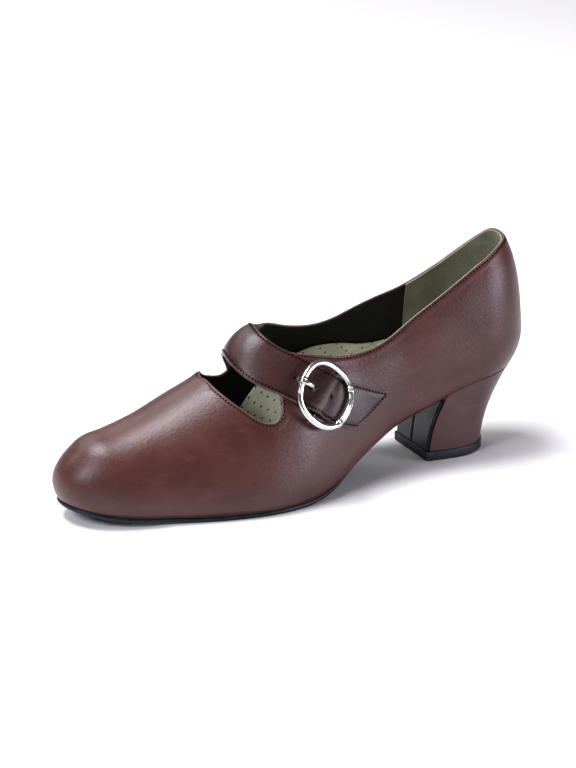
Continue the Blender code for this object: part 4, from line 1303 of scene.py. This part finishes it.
@dataclass
class SoleUnit:
    """Outsole, insole, heel, breast cover and top lift."""

    last: Last
    finishes: Finishes
    gap: float = 0.3 * MM
    sole_thickness: float = 2.7 * MM
    shank_thickness: float = 1.3 * MM
    shank_inset: float = 1.2 * MM
    shank_from: float = 0.50
    shank_to: float = 0.63
    sole_step: float = 0.7 * MM
    sole_bevel: float = 0.7 * MM
    sole_end: float = 1.2 * MM
    insole_thickness: float = 2.5 * MM
    insole_inset: float = 2.4 * MM
    seat_length: float = 51.5 * MM
    lift_thickness: float = 5 * MM
    lift_length: float = 38.5 * MM
    lift_width: float = 37.8 * MM
    lift_front_width: float = 34.8 * MM
    lift_round: float = 20.8 * MM
    lift_lip: float = 0.4 * MM
    flare: float = 1.65
    cover_thickness: float = 1.2 * MM
    cover_margin: float = 1.0 * MM
    cover_top: float = 1.8 * MM
    groove_width: float = 1.8 * MM
    groove_depth: float = 0.6 * MM
    sock_start: float = 0.379
    sock_steps: int = 60
    sock_power: float = 2.6
    sock_inset: float = 2.3 * MM
    sock_base: float = 6.5 * MM
    sock_lip: float = 1.5 * MM
    sock_thickness: float = 0.7 * MM
    rows: int = 150
    toe_crowding: float = 1.6
    end_steps: int = 16
    heel_columns: int = 90
    breast_columns: int = 60
    breast_rows: int = 30

    def outline(self, way: Array, inset: Array) -> tuple[Array, Array]:
        """Plan of the feather line moved inward, on the outer and the inner side.

        The tangent turned by a right angle in plan gives the inward direction.

        Args:
            way: Ways of the points.
            inset: Distance inward, one number or one for each point.

        Returns:
            Points of the outer and of the inner side, in the last's own coordinates.
        """
        small = 2e-5
        sides = []
        for side in Side:
            tangent = (self.last.half(np.minimum(way + small, 1), 0, side)
                       - self.last.half(np.maximum(way - small, 0), 0, side))
            inward = unit(np.stack([tangent[:, 1], -tangent[:, 0], 0 * way], -1)) * side.value
            if way[0] == 0:
                inward[0] = (1, 0, 0)
            if way[-1] == 1:
                inward[-1] = (-1, 0, 0)
            inset = np.broadcast_to(inset, way.shape)
            sides.append(self.last.half(way, 0, side) + inset[:, None] * inward)
        return sides[0], sides[1]

    def plate(self, name: str, way: Array, levels: list[tuple[Array, Array]],
              material: bpy.types.Material, across: int = 24) -> bpy.types.Object:
        """Closed plate that follows the floor.

        Its rim is one ring for each level, and its two faces are grids between the sides.

        Args:
            name: The piece's name.
            way: Ways of the rows.
            levels: Inset and drop below the floor of each level, top first.
            material: Its material.
            across: Steps across the faces.

        Returns:
            The plate.
        """
        rings = []
        for inset, drop in levels:
            outer, inner = self.outline(way, inset)
            ring = loop_of(outer, inner)
            drop = np.broadcast_to(drop, way.shape)
            ring[:, 2] = self.last.floor(ring[:, 0]) - loop_of(drop, drop)
            rings.append(ring)
        sheet = Sheet().add(np.array(rings) - self.last.origin, ring=True)
        for ring, drop in ((rings[0], levels[0][1]), (rings[-1], levels[-1][1])):
            face = span(ring, across)
            drop = np.broadcast_to(drop, way.shape)[:, None]
            face[..., 2] = self.last.floor(face[..., 0]) - drop
            sheet.add(face - self.last.origin)
        return sheet.build(name, material, sharp=CREASE)

    def build_sole(self) -> bpy.types.Object:
        """Outsole with its step under the upper, thinner and narrower at the waist."""
        straight = self.last.length - self.last.heel_round
        end = (self.last.length - self.seat_length - self.sole_end) / straight
        way = end * self.last.heel_turn_start * np.linspace(0, 1, self.rows) ** self.toe_crowding
        along = way / self.last.heel_turn_start * straight / self.last.length
        shank = ease((along - self.shank_from) / (self.shank_to - self.shank_from))
        thick = self.sole_thickness + (self.shank_thickness - self.sole_thickness) * shank
        step = self.sole_step * (1 - shank / 2)
        edge = self.gap + self.shank_inset * shank
        bulge = 0.25 * MM
        levels = [(edge + step, self.gap), (edge + step, self.gap + step),
                  (edge + 0.15 * MM, self.gap + step),
                  (edge, self.gap + step + 0.2 * MM),
                  (edge - bulge * 0.5, self.gap + thick * 0.6),
                  (edge, self.gap + thick - 0.55 * self.sole_bevel),
                  (edge + self.sole_bevel * 0.5, self.gap + thick - 0.1 * self.sole_bevel),
                  (edge + self.sole_bevel * 1.2, self.gap + thick)]
        return self.plate("sole", way, levels, self.finishes.sole)

    def build_insole(self) -> tuple[bpy.types.Object, bpy.types.Object]:
        """Dark board over the whole length, and the pale sock over its rear part."""
        way = np.linspace(0, 1, self.rows) ** self.toe_crowding
        bevel = 0.5 * MM
        board = self.plate("insole_board", way, [
            (self.insole_inset + bevel, 0.8 * MM - self.insole_thickness),
            (self.insole_inset, 0.8 * MM + bevel - self.insole_thickness),
            (self.insole_inset, 0.0)], self.finishes.board)
        return board, self.build_sock()

    def build_sock(self) -> bpy.types.Object:
        """Pale footbed, moulded to the foot and carried up the inner wall.

        Across a row it runs from the outer wall A to the wall point W(z) at a height z that
        climbs as t^2.6 from the base to the sock's top: A + (W - A) (1 - (1 - t)^2.6). A low
        lip stands along the outer wall.
        """
        last = self.last
        way = np.linspace(self.sock_start, 1, self.rows)
        t = np.linspace(0, 1, self.sock_steps + 1)
        turn = np.linspace(0, 85, 120)
        walls = []
        for side in Side:
            row, angle = way[:, None] + 0 * turn, turn + 0 * way[:, None]
            whole = angle if side is Side.OUTER else 180 - angle
            walls.append(last.point(row, whole) - self.sock_inset * last.normal(row, whole))
        outer, inner = walls
        from_toe = inner[..., 0] + last.origin[0]
        base = last.floor(from_toe[:, 0]) + self.sock_base
        top = np.maximum(SOCK_HEIGHTS.read("height", from_toe[:, 0] / MM) * MM, base + 0.3 * MM)
        power = self.sock_power
        height = base[:, None] + (top - base)[:, None] * t ** power
        start = np.stack([read_path(low, wall[:, 2], wall) for low, wall in zip(base, outer)])
        end = np.stack([read_path(rise, wall[:, 2], wall) for rise, wall in zip(height, inner)])
        grid = start[:, None] + (end - start[:, None]) * (1 - (1 - t) ** power)[:, None]
        grid[..., 2] += self.sock_lip * (1 - t) ** 8
        across = grid[..., 1] + grid[..., 2] - base[:, None]
        along = way[:, None] * last.way_length + 0 * across
        sheet = Sheet().add(grid, np.stack([along, across], -1))
        return thicken(sheet.build("sock_lining", self.finishes.sock, solid=False),
                       self.sock_thickness)

    def heel_ways(self, count: int) -> Array:
        """Ways of the heel's points, from its breast to the back seam."""
        breast = (self.last.length - self.seat_length) / (self.last.length - self.last.heel_round)
        return np.linspace(breast * self.last.heel_turn_start, 1, count)

    def lift_outline(self, count: int, inset: float, set_back: float = 0) -> tuple[Array, Array]:
        """Plan of the top lift at the heel's ways: straight sides and a round back."""
        way = self.heel_ways(count)
        turn_start = self.last.heel_turn_start
        back = self.last.length - self.last.lift_from_back
        front = back - self.lift_length + inset + set_back
        centre = back - self.lift_round
        share = np.clip((way - way[0]) / (turn_start - way[0]), 0, 1)
        angle = np.clip((way - turn_start) / (1 - turn_start), 0, 1) * math.pi / 2
        spread = (self.lift_width - self.lift_front_width) / 2
        half = self.lift_front_width / 2 + spread * np.sin(share * math.pi / 2)
        x = front + (centre - front) * share + (self.lift_round - inset) * np.sin(angle)
        return x, (half - inset) * np.cos(angle)

    def heel_grid(self, count: int, levels: Array) -> Array:
        """Rings of the heel, from its foot to the seat, flaring with a power of the height."""
        outer, inner = self.outline(self.heel_ways(count), self.gap)
        x, half = self.lift_outline(count, self.lift_lip, self.cover_thickness + self.gap)
        low = self.lift_thickness + self.gap
        rings = []
        for share in levels:
            sides = []
            for top, side in ((outer, Side.OUTER), (inner, Side.INNER)):
                foot = np.stack([x, side.value * half], -1)
                plan = foot + (top[:, :2] - foot) * share ** self.flare
                height = low + (self.last.floor(top[:, 0]) - self.gap - low) * share
                sides.append(np.column_stack([plan, height]))
            rings.append(loop_of(*sides))
        return np.array(rings)

    def tower(self, name: str, rings: Array, material: bpy.types.Material) -> bpy.types.Object:
        """Closed body of a stack of rings, with a grid over each end."""
        sheet = Sheet().add(rings - self.last.origin, ring=True)
        for ring in (rings[0], rings[-1]):
            sheet.add(span(ring, self.end_steps) - self.last.origin)
        return sheet.build(name, material, sharp=CREASE)

    def build_heel(self) -> bpy.types.Object:
        """Covered heel block, its sides softened where the leather turns over its edges."""
        levels = np.concatenate([[0, 0.006], np.linspace(0.02, 0.985, 40), [0.995, 1]])
        rings = self.heel_grid(self.heel_columns, levels)
        return self.tower("heel_cover", rings, self.finishes.heel)

    def build_lift(self) -> bpy.types.Object:
        """Top lift with a rounded foot."""
        rings = []
        for inset, height in ((0.7 * MM, 0), (0.25 * MM, 0.1 * MM), (0.03 * MM, 0.4 * MM),
                              (0, 0.9 * MM), (0, self.lift_thickness - 0.35 * MM),
                              (0.1 * MM, self.lift_thickness - 0.08 * MM),
                              (0.35 * MM, self.lift_thickness)):
            x, half = self.lift_outline(self.heel_columns, inset)
            sides = [np.column_stack([x, side.value * half, 0 * x + height]) for side in Side]
            rings.append(loop_of(*sides))
        return self.tower("heel_lift", np.array(rings), self.finishes.lift)

    def build_breast(self) -> bpy.types.Object:
        """Dark panel on the heel's front, with its upright groove."""
        rings = self.heel_grid(self.breast_columns, np.linspace(0, 1, self.breast_rows))
        outer, inner = rings[:, 0], rings[:, -1]
        low = self.lift_thickness + self.gap
        top = self.last.floor(outer[-1:, 0])[0]
        top = top - 2 * self.gap - self.shank_thickness - self.cover_top
        levels = np.linspace(low, top, self.breast_rows)
        front = np.interp(levels, outer[:, 2], outer[:, 0])
        tilt = np.gradient(front, levels)
        right = np.interp(levels, outer[:, 2], outer[:, 1]) + self.cover_margin
        left = np.interp(levels, inner[:, 2], inner[:, 1]) - self.cover_margin
        back = front - self.gap * np.sqrt(1 + tilt ** 2)
        share = np.linspace(0, 1, self.breast_columns + 1)[None, :]
        across = right[:, None] + (left - right)[:, None] * share
        middle = ((left + right) / 2)[:, None]
        dip = self.groove_depth * bell(across - middle, self.groove_width / 2.2)
        edge = np.minimum(share, 1 - share) * (left - right)[:, None]
        soft = 0.35 * MM * (1 - ease(edge / (0.6 * MM)))
        face = back[:, None] - self.cover_thickness + dip + soft
        height = levels[:, None] + 0 * across
        outer_face = np.stack([face, across, height], -1)
        rear_face = np.stack([back[:, None] + 0 * across, across, height], -1)
        loop = np.concatenate([outer_face, rear_face[:, ::-1]], axis=1)
        sheet = Sheet().add(loop - self.last.origin, ring=True)
        for row in (0, -1):
            sheet.add(np.stack([outer_face[row], rear_face[row]]) - self.last.origin)
        return sheet.build("breast_panel", self.finishes.breast, sharp=CREASE)

    def build(self) -> None:
        """Builds every piece under the upper and hides the plain solids."""
        dress("outsole", self.build_sole())
        dress("insole", *self.build_insole())
        dress("heel_block", self.build_heel())
        dress("top_lift", self.build_lift())
        dress("breast_cover", self.build_breast())


@dataclass
class Buckle:
    """Oval buckle, flat and turned a little on the strap, with its centre bar and prong.

    Its own directions are u along the strap, v along the bars and h off the foot.
    """

    strap: StrapBand
    finishes: Finishes
    length: float = 33.4 * MM
    height: float = 33.6 * MM
    squareness: float = 2.3
    lift: float = 4.9 * MM
    bow: float = 0.9 * MM
    aside: float = -0.9 * MM
    crescent: float = 3.5 * MM
    side_bar: float = 2.7 * MM
    depth: float = 2.5 * MM
    bead: float = 0.55 * MM
    flute: float = 0.13
    upper_collar: float = 51.0
    lower_collar: float = -31.0
    rest_at: float = 193.0
    left_bar: tuple[float, float] = (150.0, 214.0)
    prong_hidden: float = 1.4 * MM
    prong_shown: float = 2.3 * MM
    prong_overhang: float = 1.6 * MM
    prong_aside: float = -1.7 * MM
    prong_slant: float = 0.24
    swell_angle: float = 46.0
    bead_angle: float = 2.3
    rim_steps: int = 360
    rim_sides: int = 32
    rod_rows: int = 80
    rod_sides: int = 20
    rod_tilt: float = 0.37

    def directions(self) -> tuple[Array, Array, Array, Array]:
        """Middle of the buckle on the last, and the directions u, v and h there."""
        strap = self.strap
        middle = np.array([strap.buckle_at])
        small = 4 * MM
        centre = strap.over(middle, self.aside, 0 * middle)[0]
        ahead = strap.over(middle + small, self.aside, 0 * middle)[0]
        behind = strap.over(middle - small, self.aside, 0 * middle)[0]
        off = unit(strap.over(middle, self.aside, 0 * middle + small)[0] - centre)
        along = unit(ahead - behind)
        along = unit(along - off * (along @ off))
        across = np.cross(off, along)
        turn = math.radians(strap.buckle_turn)
        u = along * math.cos(turn) - across * math.sin(turn)
        v = along * math.sin(turn) + across * math.cos(turn)
        return centre, u, v, off

    def place(self, u: Array, v: Array, h: Array) -> Array:
        """Points from the buckle's own coordinates; the plane bows towards its two ends."""
        centre, along, across, off = self.directions()
        u, v, h = np.broadcast_arrays(u, v, h)
        h = h + self.lift - self.bow * (v / (self.height / 2)) ** 2
        return centre + u[..., None] * along + v[..., None] * across + h[..., None] * off

    def oval(self, degrees: Array, inset: float) -> tuple[Array, Array]:
        """Superellipse of the rim's middle line: its two powers of cosine and sine."""
        angle = np.radians(degrees)
        power = 2 / self.squareness
        u = (self.length / 2 - inset) * np.sign(np.cos(angle)) * abs(np.cos(angle)) ** power
        v = (self.height / 2 - inset) * np.sign(np.sin(angle)) * abs(np.sin(angle)) ** power
        return u, v

    def between(self, degrees: Array, low: float, high: float, soft: float = 4.0) -> Array:
        """1 between two angles, with soft ends; angles count on past 180."""
        return ease((degrees - low) / soft + 0.5) * ease((high - degrees) / soft + 0.5)

    def build_rim(self) -> bpy.types.Object:
        """Rim whose section changes along it.

        The section is an ellipse, widest in the middle of the two crescents. The left bar has
        flattened sides, the right bar is fluted, and beads part the stretches.
        """
        share = np.arange(self.rim_steps) / self.rim_steps
        degrees = (share * 360 + self.lower_collar)[:, None]
        inset = self.crescent / 2 - 0.1 * MM
        u, v = self.oval(degrees[:, 0], inset)
        small = 0.5
        ahead = np.stack(self.oval(degrees[:, 0] + small, inset), -1)
        behind = np.stack(self.oval(degrees[:, 0] - small, inset), -1)
        tangent = unit(ahead - behind)
        outward = np.stack([tangent[:, 1], -tangent[:, 0]], -1)
        right = self.between(degrees, self.lower_collar, self.upper_collar)
        left = self.between(degrees, *self.left_bar, 10)
        top_middle = (self.upper_collar + self.left_bar[0]) / 2
        low_middle = (self.left_bar[1] + self.lower_collar + 360) / 2
        swell = sum(bell(degrees - middle, self.swell_angle) for middle in (top_middle, low_middle))
        wide = self.side_bar + (self.crescent - self.side_bar) * np.clip(swell, 0, 1)
        phase = np.linspace(0, 2 * math.pi, self.rim_sides, endpoint=False)[None, :]
        box = 2.0 + 1.6 * left
        bow = (abs(np.cos(phase)) ** box + abs(np.sin(phase)) ** box) ** (-1 / box)
        fluted = 1 + right * self.flute * np.cos(4 * phase)
        bead = 0.0
        for angle, size in ((self.upper_collar, 1.0), (self.upper_collar - 7, 0.7),
                            (self.lower_collar + 360, 1.0), (self.lower_collar + 7, 0.7),
                            (self.lower_collar, 1.0), (self.rest_at, 0.9),
                            (self.rest_at - 8, 0.7)):
            bead = bead + size * bell(degrees - angle, self.bead_angle)
        across = wide / 2 * bow * fluted * np.cos(phase) + self.bead * bead * np.cos(phase)
        height = self.depth / 2 * bow * fluted * np.sin(phase) + self.bead * bead * np.sin(phase)
        ring_u = u[:, None] + outward[:, :1] * across
        ring_v = v[:, None] + outward[:, 1:] * across
        points = self.place(ring_u, ring_v, height)
        points = np.concatenate([points, points[:1]])
        round_rim = np.linspace(0, 0.1, self.rim_steps + 1)[:, None]
        uv = np.stack(np.broadcast_arrays(round_rim, phase * MM), -1)
        return Sheet().add(points, uv, ring=True).build("buckle_rim", self.finishes.metal)

    def rod(self, name: str, path: Array, radius: Array,
            material: bpy.types.Material) -> bpy.types.Object:
        """Round rod along a path, with round ends.

        Rings of the given radius stand square to the path, about a fixed side direction.

        Args:
            name: The piece's name.
            path: Points of its middle line.
            radius: Radius at each point.
            material: Its material.

        Returns:
            The rod.
        """
        run = path_run(path)
        fine = np.linspace(0, run[-1], self.rod_rows)
        line = read_path(fine, run, path)
        radius = np.interp(fine, run, radius)
        from_end = np.minimum(fine, run[-1] - fine)
        radius = radius * np.sqrt(1 - np.clip(1 - from_end / np.maximum(radius, TINY), 0, 1) ** 2)
        tangent = unit(np.gradient(line, axis=0))
        across, off = self.directions()[2:]
        side = unit(np.cross(tangent, off + self.rod_tilt * across))
        up = np.cross(side, tangent)
        phase = np.linspace(0, 2 * math.pi, self.rod_sides, endpoint=False)[None, :, None]
        ring = side[:, None] * np.cos(phase) + up[:, None] * np.sin(phase)
        points = line[:, None] + ring * radius[:, None, None]
        return Sheet().add(points, ring=True).build(name, material)

    def build_bar(self) -> bpy.types.Object:
        """Centre bar: under the strap along the last, then up to the rim at both ends."""
        strap = self.strap
        radius = strap.bar_wire / 2
        reach = self.oval(np.array([90.0]), self.crescent / 2)[1][0]
        v = np.linspace(-reach, reach, 60)
        edge = strap.width / 2 + radius + strap.gap
        climb = ease((abs(v) - edge) / (reach - edge))[:, None] ** 2
        lean = math.tan(math.radians(strap.buckle_turn))
        at = strap.buckle_at + strap.bar_offset + lean * v
        under = strap.over(at, v + self.aside, 0 * v + strap.gap / 2 + radius)
        rim = self.place(0 * v + strap.bar_offset, v, 0 * v)
        # The bar's dark material is painted shade, matching the shade between strap and rim.
        return self.rod("buckle_bar", under * (1 - climb) + rim * climb, 0 * v + radius,
                        self.finishes.bar)

    def build_prong(self) -> bpy.types.Object:
        """Prong: beside the bar under the strap, up through its hole and over the left bar."""
        strap = self.strap
        bar = strap.bar_offset
        hole = bar - strap.hole_from_bar
        front = -self.length / 2 + self.side_bar / 2
        top = self.lift + self.depth / 2 + self.prong_shown / 2
        low = strap.gap / 2 + self.prong_hidden / 2
        skin = strap.thickness + strap.gap
        route = Chart(("u", "h", "radius", "flat"), (
            (bar - strap.bar_wire / 2 - strap.gap, low, self.prong_hidden / 2, 0.0),
            ((bar + hole) / 2, low, self.prong_hidden / 2, 0.0),
            (hole + 1.1 * MM, low + 0.25 * skin, self.prong_hidden / 2, 0.1),
            (hole + 0.2 * MM, low + 0.90 * skin, self.prong_shown * 0.44, 0.4),
            (hole - 1.4 * MM, low + 1.45 * skin, self.prong_shown * 0.52, 0.8),
            ((hole + front) / 2, top - 0.15 * MM, self.prong_shown * 0.53, 1.0),
            (front + 1.0 * MM, top, self.prong_shown * 0.50, 1.0),
            (front - self.prong_overhang, top - 0.8 * MM, self.prong_shown * 0.42, 1.0)))
        position = np.linspace(0, len(route.rows) - 1, 70)
        u, h, radius, share = (route.read(name, position) for name in route.columns)
        v = self.prong_aside + self.prong_slant * np.minimum(u - hole, 0)
        turn = math.radians(strap.buckle_turn)
        curved = strap.over(strap.buckle_at + u * math.cos(turn) + v * math.sin(turn),
                            self.aside - u * math.sin(turn) + v * math.cos(turn), h)
        flat = self.place(u, v, h - self.lift)
        share = np.clip(share, 0, 1)[:, None]
        return self.rod("buckle_prong_wire", curved * (1 - share) + flat * share, radius,
                        self.finishes.metal)

    def build(self) -> None:
        """Builds the buckle and hides its plain solids."""
        rim, bar, prong = self.build_rim(), self.build_bar(), self.build_prong()
        dress("buckle_frame", rim, bar)
        dress("buckle_prong", prong)


@dataclass
class Studio:
    """Pale floor, soft lights and the camera at the photograph's place."""

    last: Last
    azimuth: float = -26.0
    elevation: float = 20.0
    distance: float = 1.4
    target: tuple[float, float, float] = (126.93 * MM, 4.2 * MM, 45.46 * MM)
    focal_pixels: float = 2828.0
    image_width: int = 576
    sensor: float = 36.0
    near_clip: float = 0.05
    floor_reach: float = 4.0
    world_strength: float = 0.15

    def back(self) -> Array:
        """Direction from the target to the camera."""
        a, e = math.radians(self.azimuth), math.radians(self.elevation)
        return np.array([math.sin(a) * math.cos(e), -math.cos(a) * math.cos(e), math.sin(e)])

    def add_camera(self) -> None:
        """Camera on the line through the target, with the photograph's focal length."""
        data = bpy.data.cameras.new("camera")
        data.sensor_fit = "HORIZONTAL"
        data.sensor_width = self.sensor
        data.lens = self.focal_pixels / self.image_width * self.sensor
        data.clip_start = self.near_clip
        camera = bpy.data.objects.new("camera", data)
        bpy.context.scene.collection.objects.link(camera)
        back = Vector(self.back())
        camera.location = Vector(np.array(self.target) - self.last.origin) + back * self.distance
        camera.rotation_euler = back.to_track_quat("Z", "Y").to_euler()
        bpy.context.scene.camera = camera

    def add_light(self, name: str, place: tuple[float, float, float], size: tuple[float, float],
                  power: float, colour: tuple[float, float, float], aim: Vector) -> None:
        """One rectangular soft light aimed at a point."""
        data = bpy.data.lights.new(name, "AREA")
        data.shape = "RECTANGLE"
        data.size, data.size_y = size
        data.energy = power
        data.color = colour
        lamp = bpy.data.objects.new(name, data)
        bpy.context.scene.collection.objects.link(lamp)
        lamp.location = place
        lamp.rotation_euler = (Vector(place) - aim).to_track_quat("Z", "Y").to_euler()

    def add_floor(self) -> None:
        """Wide pale floor."""
        graph = Graph("pale_floor")
        shade = graph.noise(3, 2, 0.5)
        graph.surface(Base_Color=graph.mix(shade, (0.72, 0.72, 0.72), (0.76, 0.76, 0.76)),
                      Roughness=0.8, Specular_IOR_Level=0.1)
        reach = np.linspace(-self.floor_reach, self.floor_reach, 9)
        x, y = np.meshgrid(reach, reach)
        mesh = bpy.data.meshes.new("floor")
        grid = np.stack([x, y, 0 * x], -1).reshape(-1, 3)
        mesh.from_pydata(grid.tolist(), [], grid_faces(9, 9).tolist())
        mesh.materials.append(graph.material)
        floor = bpy.data.objects.new("floor", mesh)
        bpy.context.scene.collection.objects.link(floor)

    def build(self) -> None:
        """Builds floor, lights, world and camera."""
        self.add_floor()
        self.add_camera()
        aim = Vector((0.0, 0.0, 0.05))
        self.add_light("overhead", (-0.35, 0.25, 1.35), (0.75, 0.65), 38, (0.97, 0.95, 1.0), aim)
        self.add_light("left_front", (-1.0, -0.35, 0.75), (0.35, 0.35), 11, (0.91, 0.88, 1.0), aim)
        self.add_light("low_front", (0.95, -0.95, 0.24), (0.7, 0.3), 14, (0.92, 0.87, 1.0), aim)
        self.add_light("backdrop", (-0.5, 1.9, 1.4), (2.4, 1.0), 36, (1.0, 1.0, 1.0),
                       Vector((-0.6, 2.1, 0.0)))
        world = bpy.data.worlds.new("studio")
        world.use_nodes = True
        background = world.node_tree.nodes["Background"]
        background.inputs["Color"].default_value = (1.0, 1.0, 1.0, 1)
        background.inputs["Strength"].default_value = self.world_strength
        bpy.context.scene.world = world
        bpy.context.scene.view_settings.view_transform = "Standard"


def main() -> None:
    """Builds the shoe's pieces in order, then the studio."""
    logging.basicConfig(level=logging.INFO, format="%(message)s")
    last = Last()
    finishes = Finishes()
    strap = StrapBand(last, finishes)
    UpperShell(last, finishes).build()
    strap.build()
    SoleUnit(last, finishes).build()
    Buckle(strap, finishes).build()
    Studio(last).build()
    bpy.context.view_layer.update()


if __name__ == "__main__":
    main()
